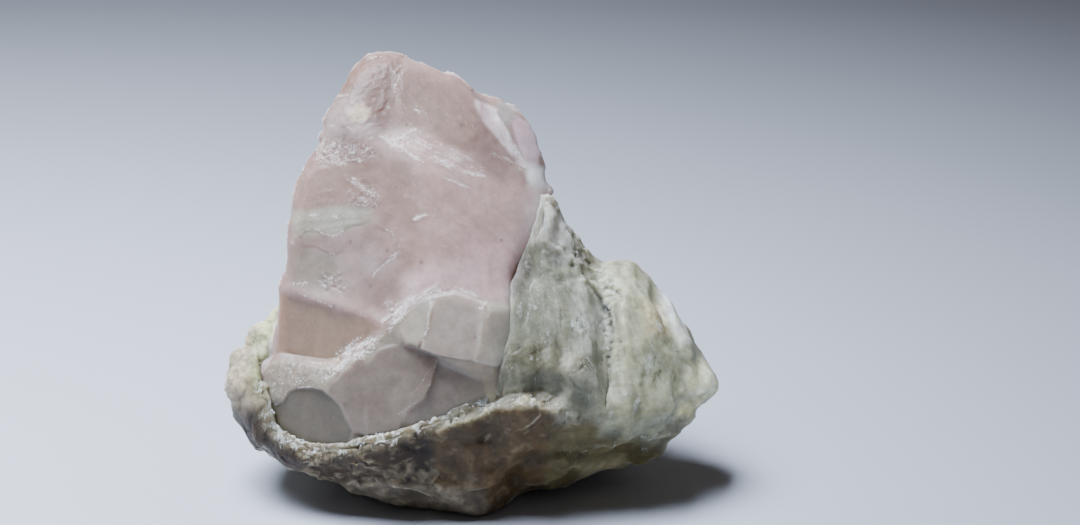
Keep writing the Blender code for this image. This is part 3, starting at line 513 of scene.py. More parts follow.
crystalFeathers = [  # outline, soft edge, angle of the lines, spacing, whiteness, height
    ([(-12.6, 53.3), (-7.3, 53.9), (-2.5, 51.5), (1.5, 49.4), (2.8, 47), (-1, 47.4), (-6, 50),
        (-10.4, 51.4)], 0.6, -28, 0.3, 0.6, 0.06),
    ([(-7, 52.8), (-2.5, 51.2), (1.5, 49.4), (2, 47.6), (-1, 47.8), (-5, 50.4)], 0.6, -20, 0.5, 0.5, 0.06),
    ([(3, 57.4), (4.6, 56.8), (6.6, 52.6), (7.6, 49.4), (5.6, 50.2), (3.6, 54)], 0.3, -62, 0.3, 0.8, 0.1),
    ([(1, 58.6), (3.4, 57.8), (5, 54), (4, 52), (1.8, 55)], 0.8, -60, 0.45, 0.55, 0.08),
    ([(4, 51), (7.8, 49), (8.6, 47.4), (6.2, 48.6), (3, 50.6)], 0.5, -30, 0.35, 0.7, 0.06),
    ([(-12, 64), (-8.6, 63.6), (-9.2, 57.4), (-11.4, 57.4)], 0.8, -85, 0.35, 0.35, 0.06),
    ([(-17, 47.6), (-12.6, 46.6), (-11.6, 43.6), (-15.6, 42.6)], 0.9, -30, 0.4, 0.6, 0.05),
    ([(-12.2, 27.6), (-7.6, 31.2), (-3.6, 32.8), (-3.6, 31.6), (-7, 29.6), (-10.6, 25.8)], 0.5, 42, 0.35,
        0.9, 0.1),
    ([(-20, 21), (-15.6, 25.4), (-11.6, 25.6), (-12.6, 23.6), (-17.6, 20.4)], 0.6, 35, 0.35, 0.8, 0.08),
    ([(-12, 49), (2, 46), (9.6, 45), (7.4, 35.6), (1, 32.4), (-8.6, 32), (-10.4, 39)], 2.5, -35, 0.9, 0.2,
        0.03),
    ([(-8.6, 62.6), (0, 59), (1.6, 53.4), (-6, 53.4), (-10, 56)], 1.5, -50, 0.7, 0.2, 0.04),
    ([(-24, 51), (-13, 49), (-13, 43), (-24.4, 43)], 1.5, 10, 0.8, 0.22, 0.04),
    ([(-24.9, 42.6), (-12.9, 42.6), (-14.6, 40.6), (-24.4, 38.6)], 0.7, 5, 0.5, 0.25, 0.04),
    ([(-15.4, 64), (-10.8, 63.6), (-11.5, 54.5), (-20, 53.9), (-18.8, 60.5)], 1, 25, 0.5, 0.16, 0.02),
    ([(-16.4, 63), (-11.8, 62.6), (-12.5, 56.5), (-19, 55.9), (-18.8, 60.5)], 1, -65, 0.4, 0.16, 0.02),
]

crystalSpecks = [(-1, 54.5), (-8.5, 54.5), (-16.1, 38.4), (-11.2, 37.2), (-6.3, 35.6), (-13.3, 32.3),
    (4.6, 38.6), (-19.5, 31.6), (-18.3, 29.5), (-17.5, 14.6), (-20.6, 11.9), (-16.9, 16.2), (1.2, 25.4)]
crystalFoot = [(-30, 22), (-24, 22.6), (-17.4, 21.2), (-12, 26), (-4.6, 31.2), (5, 30.6), (9, 31), (9, 8),
    (-30, 6)]
crystalCorner = [(-3, 22.2), (2, 19.6), (2.8, 16.4), (-6, 12), (9, 12), (9, 23), (5.2, 22.6), (3.8, 20.9),
    (1.2, 21.6)]
crystalSmooth = [(-30, 33), (-17, 31), (-10, 29.5), (-3, 33), (6, 31.5), (14, 33), (14, 60), (0, 70),
    (-24, 70)]


def shapeCrystal(skin):
    look, back = skin.look, 1 - skin.front
    crown = patch(skin, crystalTones["crown"][0], 1.5)
    paint(skin, patch(skin, crystalFoot, 1.2), "stepGrey")
    soften(skin, skin.front * ramp(nearLine(skin.spots, seamLine)[0], 0.6, 2.5), look["roundPasses"])
    push(skin, crumple(skin.points, look["swellSize"], 21) * look["swellHeight"] * (0.4 + 0.6 * back))
    for outline, how in crystalFacets.values():
        facet(skin, outline, **how)
    for outline, soft, tone in crystalTones.values():
        paint(skin, patch(skin, outline, soft), tone)
    paint(skin, patch(skin, crystalCorner, 0.5), "sand")
    paint(skin, ramp(back, 0.1, 0.9), "greyRose")
    soften(skin, patch(skin, crystalSmooth, 1.5), look["faceSmoothing"])
    breakCrystal(skin, crown, back)
    markCrystal(skin)
    skin.shine -= 0.35 * crown
    skin.shine *= 1 - 0.5 * back


def breakCrystal(skin, crown, back):  # rough broken sides, and a lightly rough crown
    look = skin.look
    crumble(skin, back, *look["bigChips"], 43)
    crumble(skin, np.maximum(crown * 0.2, back * patchy(skin, 9.0, 31, -0.3, 0.2)), *look["middleChips"], 41)
    soften(skin, crown, look["crownPasses"])
    worn = np.maximum(crown * 0.4, back * patchy(skin, 7.0, 33, -0.3, 0.3))
    crumble(skin, worn, *look["smallChips"], 47, 0.12)
    whiten(skin, back * look["backFrost"] * patchy(skin, 2.2, 35, 0.0, 0.7))


def markCrystal(skin):  # ledges, veils, threads and crumbs of the show face
    for line, drop, reach, rim in crystalLedges:
        ledge(skin, line, drop, reach, rim)
    for k, (outline, soft, angle, size, white, height) in enumerate(crystalFeathers):
        feather(skin, outline, soft, angle, size, white, height, 301 + 5 * k)
    for line, width, height, white in crystalStreaks:
        streak(skin, line, width, height, white)
    for k, (outline, soft, size, height, white) in enumerate(crystalCrumbs):
        crumble(skin, patch(skin, outline, soft), size, height, 60 + 9 * k, white)
    streak(skin, seamLine[9:], skin.look["seamWidth"], 0.0, skin.look["seamFrost"])
    dots(skin, crystalSpecks, skin.look["speckSize"])


matrixLook = {
    "meshSize": 0.48, "softening": 3, "fineAbove": 0.25,    # mm, passes, how far a face must face the viewer
    "covered": seamLine + [(-28, 30), (-24, 52), (-14, 66), (4, 60), (10, 48)], "coveredRim": 1.5,
    "swellSize": 5.0, "swellHeight": 0.25, "ribHeight": 0.05, "flakeHeight": 0.12,    # mm
    "bigChips": (4.2, 0.42), "middleChips": (2.2, 0.22), "smallChips": (1.3, 0.12),    # size, height, mm
    "headChips": (3.0, 0.3), "edgeChips": (1.5, 0.3), "bladeChips": (0.8, 0.06), "rimChips": (1.1, 0.4),
    # hollowShade sets how much painted shade darkens the albite's hollows
    "ruggedPasses": 5, "headPasses": 5, "rimWear": 0.15, "hollowShade": 0.2, "backFrost": 0.7,
    "streakFrost": 1.2, "knobShade": 0.25, "rimWidth": 1.2, "speckSize": 0.25,
    "fibreSource": (8.0, 74.0),    # the blades of the slab and block spread from here, mm
    "seamReach": 5.5, "seamInset": 0.7, "lipHeight": 0.7,    # how the albite swells to meet the crystal, mm
    # tones that the patches below pick from
    "bodyTone": "#908c7c", "backTone": "#a49c8c", "flakeTone": "#948870", "greyGreen": "#848474",
    "shadeGrey": "#706a60", "stoneGrey": "#8c887c", "lightGrey": "#a4a498", "silver": "#ccc8c0",
    "paleGreen": "#9c9c84", "frostGreen": "#b8b8a0", "limeCream": "#c4c498", "lichen": "#848460",
    "chalk": "#f0f0e4", "ivory": "#f0f0cc", "butter": "#e4dcac", "straw": "#d0c4a0", "tan": "#b8a890",
    # earth, bronze, umber, shadedDarkBrown and shadedDeepBrown are the underside's olive-brown, darkened as
    # painted shade where the underside faces the floor
    "sand": "#a49a78", "fern": "#646452", "moss": "#6c6854", "shadedEarth": "#685e50", "shadedBronze": "#605638",
    "shadedUmber": "#58462c", "shadedDarkBrown": "#302010", "shadedDeepBrown": "#28180c",
    "driftSize": 5.0, "driftDark": "#dcdacf", "driftLight": "#ffffff", "grainSize": 1.3, "grainDepth": 0.32,
    "frostTone": "#bfc3ba", "frostLow": 0.8, "frostHigh": 1.2, "frostCover": 0.75, "frostRough": 0.1,
    "frostFrom": 0.92, "frostTo": 1.6, "frostSize": 0.32, "frostStretch": (1.0, 1.0, 0.3),
    "sparkSize": 0.26, "fleckTone": "#3f362c", "roughDull": 0.68, "roughShiny": 0.34,
    "bumpSize": 0.55, "bumpStrength": 0.9, "glow": 0.9, "glowReach": (1.0, 0.95, 0.7), "glowScale": 0.004,
    "ior": 1.53, "specular": 0.25, "coat": 0.0, "coatRough": 0.22,
}

matrixTones = {  # outline, soft edge in mm, tone
    "slab": ([(9.8, 44.8), (12.6, 43.4), (14.8, 38.9), (15.4, 36.1), (16.8, 33.6), (18.8, 30.2), (19, 23.2),
        (19, 17.4), (16.8, 17.1), (15.4, 21.3), (12, 21.8), (5.9, 21), (5.3, 24.6), (6.2, 30.8),
        (9.2, 38.6)], 0.8, "greyGreen"),
    "slab shade": ([(5, 32.2), (8.4, 37), (9.2, 34.7), (7.6, 31.4), (5.9, 30.2)], 1, "shadeGrey"),
    "recess": ([(14.7, 37.5), (16.8, 36.4), (16.5, 34.2), (15.1, 34.4)], 0.5, "stoneGrey"),
    "block": ([(18.8, 35.6), (22.4, 35.3), (26, 32.8), (30.8, 25.2), (34.4, 19), (32.2, 15.4), (28.3, 12.3),
        (25.2, 10.4), (21.8, 10.6), (19, 16.2), (19, 23.2), (19.9, 30.2)], 0.8, "paleGreen"),
    "fan": ([(15.4, 34.4), (18.8, 35.3), (21.8, 32.8), (21.3, 30.8), (19, 29.7), (17.1, 31.6)], 0.6,
        "frostGreen"),
    "warm spot": ([(23.8, 30.2), (27.4, 29.4), (27.7, 25.8), (24.6, 25.5)], 1.2, "straw"),
    "block edge": ([(26.6, 32.2), (28.8, 30), (31.1, 24.6), (29.4, 24.1), (27.2, 28.8)], 0.8, "chalk"),
    "tip": ([(30.8, 21.6), (32.8, 22.1), (34.9, 18.8), (33.9, 16.2), (31.4, 15.7), (30, 17.9)], 0.8,
        "ivory"),
    "tip underside": ([(29.4, 16.2), (31.4, 16), (30.5, 14.3), (28.8, 14)], 0.7, "butter"),
    "ledge band": ([(-4.8, 21.6), (5.6, 20.7), (12, 21.6), (15.4, 21), (16, 17.9), (18.2, 16.8),
        (16.8, 14.6), (12.6, 13.6), (7, 15), (1.1, 14.2), (-3.6, 13.2), (-5, 17.6)], 1.4, "greyGreen"),
    # the underside patches below are the stone's brown, darkened as painted shade
    "under right": ([(-5.9, 15), (1.4, 16.2), (9.8, 16.2), (12, 14.3), (11.4, 7), (9, -2), (-5, -2)], 0.9,
        "shadedUmber"),
    "under block": ([(10.9, 13.4), (16.8, 14), (23.8, 11.5), (27, 9), (24, 2), (9, -2), (10.6, 7.3)], 1,
        "shadedBronze"),
    # painted light: the rim's olive-brown is lightened where the rim lies in shade
    "foot rim": ([(14.8, 7.3), (21.3, 8.2), (22.3, 5.9), (19, 4.9), (15.8, 5.6)], 1.2, "sand"),
    # painted shade: the underside's brown, darkened under the crystal and the lump
    "under left": ([(-25.5, 12), (-16.5, 12.4), (-12, 13.2), (-5.4, 16), (-4.6, 6.4), (-4.2, -2), (-28, -2),
        (-29, 8)], 0.9, "shadedDarkBrown"),
    "lump": ([(-28.3, 29.7), (-26.3, 29.4), (-27.2, 21.8), (-28.3, 17.4), (-28, 10.6), (-25.2, 7.8),
        (-28.3, 9), (-32.5, 14.8), (-33.9, 19), (-32.2, 24.1), (-30, 28)], 1, "tan"),
    "lump band": ([(-29.1, 26), (-27.2, 26), (-28.3, 16.8), (-30, 17.4), (-30.5, 21.3)], 0.9, "lichen"),
    # painted shade: the foot of the lump is darkened where it lies in shadow
    "lump foot": ([(-33, 15.6), (-28, 16.5), (-26.3, 12), (-23, 11.2), (-22, 4), (-30, 3), (-34, 10)], 2.4,
        "shadedDarkBrown"),
    "slab foot": ([(5.4, 24.6), (13, 24.6), (16.4, 23.4), (16, 21.4), (12, 21.2), (5, 21.2)], 2.4, "moss"),
    "ledge": ([(-5.2, 12.8), (-5.2, 15.6), (0.4, 17), (4.2, 17.6), (3.2, 15.2), (0.4, 13.8)], 0.6, "fern"),
    "block foot": ([(18, 17), (23, 17), (27, 13.6), (25, 10.4), (18, 12)], 1.2, "paleGreen"),
    "slab head": ([(9, 46), (13, 44), (14.6, 39), (12.6, 36), (9.6, 39)], 2.2, "silver"),
    "slab right": ([(13.6, 34), (15.6, 33.2), (18.6, 29.6), (18.8, 23.4), (14.8, 23), (14, 28)], 0.9,
        "lightGrey"),
    "lump top": ([(-30.6, 23.6), (-29, 28), (-27, 29.8), (-26.6, 26), (-28, 22.6)], 0.8, "limeCream"),
    # painted shade: the lump's base and the base edge are darkened near the table
    "lump base": ([(-29, 9.6), (-23, 9.2), (-22, 6.8), (-28, 6.8)], 0.8, "shadedDeepBrown"),
    "base edge": ([(-18, 5), (-10, 5.4), (-4, 4.6), (2, 4), (2, -1), (-18, -1)], 1, "shadedEarth"),
    "crest": ([(4.4, 17.6), (8.6, 17.9), (12.8, 16.6), (12.6, 15.4), (8, 16.2), (4.4, 16.2)], 0.6, "moss"),
}

matrixStreaks = [  # line, width, height, whiteness
    ([(14.8, 34.6), (15.8, 34), (16.9, 33.2), (17.9, 31.2), (19.2, 28.6)], 0.36, 0.12, 0.97),
    ([(17.2, 32.4), (18.2, 31.6), (19.3, 30.8)], 0.42, 0.09, 0.97),
    ([(19.2, 30), (19.9, 28), (19.6, 26), (19.2, 23.6)], 0.42, 0.12, 0.81),
    ([(14.3, 27.7), (14.8, 26.6), (15.4, 25.5)], 0.52, 0.09, 1),
    ([(14.8, 30.5), (15.6, 27.6), (16.1, 24.9)], 0.31, 0.06, 0.65),
    ([(7.3, 30.1), (7, 27.9)], 0.42, 0.09, 0.92),
    ([(8.6, 30.3), (8.2, 28.2)], 0.31, 0.06, 0.54),
    ([(9, 29.5), (9.4, 29.1)], 0.31, 0.07, 0.92),
    ([(10.5, 26.5), (11.1, 25.5)], 0.31, 0.06, 0.76),
    ([(8.5, 23), (8.8, 22.3)], 0.31, 0.07, 0.97),
    ([(10.2, 41), (11, 39.6), (11.6, 38.6)], 0.52, 0.06, 0.59),
    ([(10.6, 38.8), (11.4, 37.2)], 0.52, 0.06, 0.65),
    ([(25.5, 27.4), (26.2, 26.6), (26.9, 26)], 0.62, 0.09, 0.97),
    ([(23.8, 21.6), (24.9, 22.4), (24.5, 20.3)], 0.62, 0.09, 0.97),
    ([(23.4, 17.4), (22.8, 15.4), (22.3, 14.6)], 0.47, 0.07, 0.86),
    ([(21.2, 17.8), (21.6, 17.2)], 0.47, 0.07, 0.97),
    ([(19.6, 15.2), (19.2, 14.4)], 0.36, 0.06, 0.86),
    ([(25.8, 20.6), (26.4, 18.6)], 0.31, 0.06, 0.54),
    ([(29, 24), (28.4, 21), (27.4, 18.4)], 0.42, 0.06, 0.43),
    ([(31, 23.2), (32, 21.8)], 0.47, 0.06, 0.54),
    ([(26.9, 14), (28.6, 13.8)], 0.94, 0.18, 0.65),
    ([(23.6, 11.4), (25, 10.9), (26.4, 11.8)], 0.31, 0.07, 0.65),
    ([(5.9, 21), (7.6, 21.9), (9.4, 22)], 0.36, 0.03, 0.32),
    ([(-16.9, 6.6), (-14.7, 6.9)], 0.31, 0.07, 0.65),
    ([(-16.7, 4.9), (-15, 5.6), (-13.4, 5.9)], 0.36, 0.09, 0.81),
    ([(-18.2, 3.9), (-14.3, 5), (-11.5, 5.2)], 0.31, 0.07, 0.54),
    ([(-11.2, 6.2), (-9.9, 6.4), (-8.7, 5.6)], 0.73, 0.09, 0.54),
    ([(-8, 8.4), (-8.2, 7.2), (-8.8, 6)], 0.31, 0.07, 0.81),
    ([(-5.5, 4.6), (-4.2, 6.4)], 0.21, 0.05, 0.76),
    ([(-13.9, 8.3), (-12.9, 8.7)], 0.31, 0.06, 0.76),
    ([(2.4, 11.2), (3.1, 12.2)], 0.31, 0.09, 0.65),
    ([(4.6, 12.2), (6, 12.9)], 0.29, 0.07, 0.76),
    ([(7, 12.2), (8.4, 12.6)], 0.26, 0.06, 0.65),
    ([(9.8, 11.9), (11.1, 12)], 0.21, 0.05, 0.43),
    ([(-24.2, 9.6), (-22.8, 9.2)], 0.42, 0.06, 0.54),
    ([(-22, 7.8), (-20.8, 8.6), (-20.6, 7.6)], 0.36, 0.09, 0.76),
    ([(-20.6, 9.6), (-18.2, 9.9), (-16.5, 10.5), (-15.2, 11.4)], 0.26, 0.06, 0.65),
]

matrixGrooves = [  # line, width, depth, darkness
    ([(14.6, 37.6), (15.2, 35.6), (16.4, 33.3), (18.2, 30.6), (19.4, 28), (19.8, 25.6), (19.4, 23.2),
        (19.2, 20.4), (19.1, 18.5), (18.8, 16.1)], 0.3, 0.32, 0.6),
    ([(15.8, 21.6), (15.1, 21)], 0.2, 0.12, 0.5),
    ([(20.6, 24.6), (21.1, 24.6)], 0.2, 0.11, 0.56),
    ([(12.5, 38.2), (14.8, 34.8), (16.9, 33.4)], 0.3, 0.17, 0.35),
    ([(15.8, 35.6), (17.9, 33), (20, 31.8), (21.2, 30.8)], 0.28, 0.17, 0.35),
    ([(12.7, 29.1), (12.7, 26.5)], 0.2, 0.08, 0.35),
    ([(13.6, 31.6), (15.2, 29.2), (16.8, 27), (17, 24)], 0.3, 0.11, 0.24),
    ([(15.1, 21), (13.6, 20.2), (14.6, 18.6), (17, 17.6)], 0.25, 0.08, 0.28),
    ([(1.4, 16.2), (5.7, 17.8), (9.9, 18.1), (12.3, 17.1)], 0.3, 0.14, 0.42),
    ([(-14.6, 9.4), (-13.4, 9.9), (-10.8, 11.5), (-9, 11), (-7, 9.7)], 0.4, 0.2, 0.35),
    ([(10.5, 44.2), (10.1, 42.6), (10.1, 40.6)], 0.25, 0.08, 0.49),
]

slabFace = [(6.5, 30), (9, 37), (14, 37), (17.5, 31), (18, 24), (12, 22.5), (6.5, 23)]
blockFace = [(20, 30), (24, 33), (29, 26), (32, 20), (28, 14), (21, 14)]
slabHead = [(9, 46), (16, 45), (19, 36), (15, 31), (10, 34), (9, 40)]
matrixSpecks = [(-31.8, 15.1), (-28.9, 9.7), (-19.6, 8.3), (-6.2, 12.8), (26.4, 20.6)]

matrixKnobs = [  # place, radius, height, whiteness
    ((-33, 18.6), 2.2, 0.52, 0.35), ((-30.2, 23.4), 1.9, 0.455, 0.6), ((-32.4, 21.8), 1.6, 0.325, 0.3),
    ((-29.4, 26.2), 1.5, 0.39, 0.6), ((-28.3, 28.6), 1.3, 0.325, 0.5), ((-31.8, 13.6), 1.7, 0.195, 0.15),
    ((-30.6, 20.6), 1.6, 0.26, 0.2), ((-29.6, 11.2), 1.6, 0.13, 0), ((-26.2, 8.6), 1.7, 0.13, 0),
    ((-33.2, 16), 1.4, 0.195, 0.2), ((-28, 24.6), 1.1, 0.195, 0.4), ((-31, 25), 1.1, 0.26, 0.4),
]

matrixCrumbs = [  # outline, soft edge, crumb size, height, whiteness
    ([(15.4, 34.4), (18.8, 35), (21.8, 32.8), (21.3, 30.8), (19, 29.7), (17.1, 31.6)], 1, 1, 0.28, 0.65),
    ([(18.4, 30.2), (20, 30.2), (20.3, 25.2), (19.4, 21), (18.8, 22.2), (18.4, 25.2)], 0.9, 0.9, 0.26, 0.6),
    ([(-5, 13), (-5, 15), (-2.6, 16), (0.4, 16.6), (2.8, 17), (3.2, 15.4), (0.4, 14.2), (-2.6, 13.2)], 0.6,
        0.9, 0.3, 1),
    ([(2.8, 17.2), (6.8, 17.5), (12.4, 16.2), (14.6, 14.6), (16.9, 14.9), (16.8, 13.6), (13.8, 12.8),
        (12, 14.3), (7, 15.8), (3, 15.4)], 0.6, 0.7, 0.16, 0.18),
    ([(-6.4, 5.3), (-3.6, 5.9), (-3.6, 1.4), (-6.4, 1.4)], 0.7, 0.6, 0.1, 0.4),
    ([(-17.4, 8.1), (-12, 8.1), (-10.9, 5), (-16.5, 4)], 0.9, 1.2, 0.2, 0.35),
    ([(13.8, 29), (15.8, 29), (16.6, 25), (14.6, 24.6)], 0.8, 0.6, 0.08, 0.45),
    ([(24.6, 28.4), (26.8, 27.8), (27.4, 25.4), (25, 25.2)], 0.8, 0.6, 0.1, 0.45),
    ([(-31, 24.4), (-28.6, 29.6), (-27.6, 29.4), (-28.6, 24.2), (-29.6, 22.4)], 0.8, 0.5, 0.1, 0.5),
    ([(-34.5, 17), (-34, 24), (-30, 30), (-28.6, 28), (-29.6, 22.4), (-31.4, 17)], 1, 0.6, 0.12, 0.25),
    ([(-34, 14), (-28.6, 15), (-26, 9.4), (-20, 8.6), (-19, 5), (-28, 5)], 1.5, 1, 0.15, 0.1),
    ([(-28, 12), (-24.5, 9.2), (-21.3, 8.2), (-17.5, 8.6), (-14, 9.6), (-10.5, 10.4), (-6, 12), (-5, 13.8),
        (-10.5, 12.4), (-17.5, 10.8), (-21.3, 10.4), (-24.5, 11.8), (-27, 14)], 0.5, 0.6, 0.16, 0.5),
]


def skinTree(skin):  # to look up the nearest place on a stone
    faces = [tuple(p.vertices) for p in skin.piece.data.polygons]
    return BVHTree.FromPolygons(skin.points.tolist(), faces)


def meetCrystal(skin, crystal):  # the albite swells up to the crystal's edge
    look = skin.look
    far, side, along = nearLine(skin.points[:, :2], seamLine)
    line = np.array(seamLine)
    lengths = np.linalg.norm(np.diff(line, axis=0), axis=1)
    shares = np.concatenate([[0], np.cumsum(lengths)]) / lengths.sum()
    run = np.gradient(line, axis=0)
    inward = np.stack([run[:, 1], -run[:, 0]], axis=1) / np.hypot(*run.T)[:, None]
    tree = skinTree(crystal)
    level = []
    for place in line + inward * look["seamInset"]:
        hit = tree.ray_cast(Vector((*place, 60.0)), Vector((0, 0, -1)))[0]
        level.append(hit.z if hit else (level or [0.0])[-1])
    level = np.interp(along, shares, level) + look["lipHeight"] * ramp(along, 0.45, 0.6)
    short = np.clip(level - skin.points[:, 2], 0, 7)
    near = (1 - ramp(far, 0.3, look["seamReach"])) * ((side > 0) | (far < 0.8))
    near = near * ramp(skin.normals[:, 2], -0.1, 0.15)
    skin.points[:, 2] += short * near
    soften(skin, near * 0.6, 8)


def bladeField(skin, size, seed, length=5):  # long narrow ribs that spread from the fibre source, -1 to 1
    away = skin.points[:, :2] - skin.look["fibreSource"]
    along = np.hypot(away[:, 0], away[:, 1])
    angle = np.arctan2(away[:, 0], -away[:, 1]) * 45
    drawn = np.stack([angle / size, along / (size * length), skin.points[:, 2] / (size * 3)], axis=1)
    return crumple(drawn, 1.0, seed)


def shapeMatrix(skin, crystal):
    look, back = skin.look, 1 - skin.front
    across, up = skin.points[:, 0], skin.points[:, 1]    # these follow the points as they move
    bladed = ramp(across, 3.0, 7.0) * ramp(up, 16.0, 21.0)
    bladed = np.maximum(bladed, ramp(across, 17.5, 20.0) * ramp(up, 10.5, 14.0))
    under = ramp(across, -25.0, -22.0) * (1 - ramp(up - 0.25 * across, 12.0, 15.0)) * skin.front
    meetCrystal(skin, crystal)
    push(skin, crumple(skin.points, look["swellSize"], 121) * look["swellHeight"])
    for outline in (slabFace, blockFace):
        facet(skin, outline, flat=0.55, soft=2.0, limit=0.9)
    head = patch(skin, slabHead, 1.5)
    push(skin, np.maximum(head, 0.2 * bladed) * crumple(skin.points, 2.4, 125, 2) * 0.5)
    crumble(skin, head, *look["headChips"], 127)
    soften(skin, head, look["headPasses"])
    crumble(skin, head * ramp(across + 0.4 * (up - 44), 10.5, 12.5), *look["edgeChips"], 128)
    for outline, soft, tone in matrixTones.values():
        paint(skin, patch(skin, outline, soft), tone)
    paint(skin, ramp(back, 0.2, 0.9), "backTone")
    growBlades(skin, bladed)
    rugged = np.maximum(under, back * 0.8)
    breakMatrix(skin, rugged, back)
    flakeMatrix(skin, under, back)
    markMatrix(skin)
    crustRim(skin)
    dots(skin, matrixSpecks, look["speckSize"])
    skin.shine = 0.45 + 0.3 * np.maximum(bladed, patch(skin, matrixTones["tip"][0], 0.8)) - 0.2 * rugged


def growBlades(skin, bladed):  # the fibrous slab and block
    look = skin.look
    ribs = bladeField(skin, 0.5, 131) + bladeField(skin, 0.25, 137, 6)
    push(skin, bladed * ribs * look["ribHeight"])
    crumble(skin, bladed * patchy(skin, 3.0, 129, -0.1, 0.4), *look["bladeChips"], 145)
    whiten(skin, bladed * skin.front * (0.05 + 0.45 * ramp(bladeField(skin, 0.6, 133, 9), -0.2, 0.5)))
    shade(skin, bladed * (-0.3 * bladeField(skin, 0.5, 139, 9) - 0.2 * crumple(skin.points, 3.5, 141)))


def breakMatrix(skin, rugged, back):  # the underside, back and ends
    look = skin.look
    crumble(skin, rugged * patchy(skin, 9.0, 151, -0.6, 0.0), *look["bigChips"], 157)
    soften(skin, rugged, look["ruggedPasses"])
    crumble(skin, back * patchy(skin, 6.0, 155, -0.4, 0.2), *look["middleChips"], 159)
    crumble(skin, rugged * patchy(skin, 5.0, 153, -0.1, 0.4), *look["smallChips"], 163)
    whiten(skin, back * look["backFrost"] * patchy(skin, 2.0, 165, 0.0, 0.7))


def flakeMatrix(skin, under, back):  # thin pale flakes on the dark underside
    broken = under * (0.35 + 0.65 * ramp(skin.points[:, 0], 4.0, -6.0))
    flakes = np.maximum(broken, back * 0.5) * patchy(skin, 2.0, 171, 0.1, 0.4)
    push(skin, flakes * skin.look["flakeHeight"])
    paint(skin, flakes * 0.42 * patchy(skin, 0.8, 175, -0.5, 0.1), "flakeTone")
    whiten(skin, under * 0.5 * patchy(skin, 2.0, 167, 0.1, 0.6))
    shade(skin, under * -0.4 * crumple(skin.points, 3.0, 169))


def markMatrix(skin):  # knobs, threads, crumbs and grooves of the show face
    look = skin.look
    for place, radius, height, white in matrixKnobs:
        far = np.hypot(*(skin.spots - place).T) / radius
        dome = np.sqrt(np.clip(1 - far ** 2, 0, 1)) * np.minimum(1, skin.front + 0.3)
        push(skin, height * dome)
        whiten(skin, white * dome)
        shade(skin, look["knobShade"] * (np.exp(-((far - 1.1) / 0.2) ** 2) * skin.front))
    for line, width, height, white in matrixStreaks:
        streak(skin, line, width, height, white * look["streakFrost"])
    for k, (outline, soft, size, height, white) in enumerate(matrixCrumbs):
        crumble(skin, patch(skin, outline, soft), size, height, 180 + 9 * k, white)
    for line, width, depth, dark in matrixGrooves:
        weight = streak(skin, line, width, -depth, 0) * patchy(skin, 1.6, 201, -0.6, 0.2)
        shade(skin, dark * weight)
        skin.frost *= 1 - weight


def crustRim(skin):  # the crumbly pale rim under the crystal, above the dark underside
    look, across, up = skin.look, skin.points[:, 0], skin.points[:, 1]
    lip = np.exp(-(nearLine(skin.spots, seamLine[11:])[0] / look["rimWidth"]) ** 2) * skin.front
    lip = np.maximum(lip, patch(skin, matrixTones["crest"][0], 1.0) * 0.8)
    crumble(skin, lip * patchy(skin, 2.6, 199, -0.5, 0.1), *look["rimChips"], 197, 0.7)
    paint(skin, lip * 0.6 * patchy(skin, 1.2, 203, -0.7, 0.1), "flakeTone")
    low = skin.front * (1 - ramp(up - 0.25 * np.maximum(across, 0), 15.0, 17.5)) * ramp(across, 16.0, 10.0)
    low *= 1 - 0.4 * ramp(across, -22.0, -27.0)
    paint(skin, low * 0.8 * np.minimum(skin.frost, 1) * patchy(skin, 0.9, 173, -0.4, 0.1), "flakeTone")
    skin.frost *= 1 - 0.95 * low
    whiten(skin, lip * 1.1 * patchy(skin, 1.0, 205, -0.2, 0.3))


def addNode(tree, kind, inputs=None, **settings):
    made = tree.nodes.new("ShaderNode" + kind)
    for key, value in settings.items():
        setattr(made, key, value)
    for name, value in (inputs or {}).items():
        setSocket(tree, made.inputs[name], value)
    return made


def setSocket(tree, socket, value):
    if isinstance(value, bpy.types.NodeSocket):
        tree.links.new(value, socket)
    else:
        socket.default_value = value


def mathNode(tree, operation, a, b, clamp=False):
    return addNode(tree, "Math", {0: a, 1: b}, operation=operation, use_clamp=clamp).outputs[0]


def noiseNode(tree, place, size, detail=3.0, rough=0.55):  # size in mm
    inputs = {"Vector": place, "Scale": 1000 / size, "Detail": detail, "Roughness": rough}
    return addNode(tree, "TexNoise", inputs).outputs[0]


def remapNode(tree, value, low, high, newLow=0.0, newHigh=1.0):
    return addNode(tree, "MapRange", {0: value, 1: low, 2: high, 3: newLow, 4: newHigh}).outputs[0]


def mixColours(tree, share, a, b, blend="MIX"):
    made = addNode(tree, "Mix", data_type="RGBA", blend_type=blend)
    for k, value in ((0, share), (6, a), (7, b)):
        setSocket(tree, made.inputs[k], value)
    return made.outputs[2]


def timesGrey(tree, colour, value):
    grey = addNode(tree, "CombineColor", {0: value, 1: value, 2: value}).outputs[0]
    return mixColours(tree, 1.0, colour, grey, "MULTIPLY")


def flatColour(code):
    return (*toLinear(code), 1)


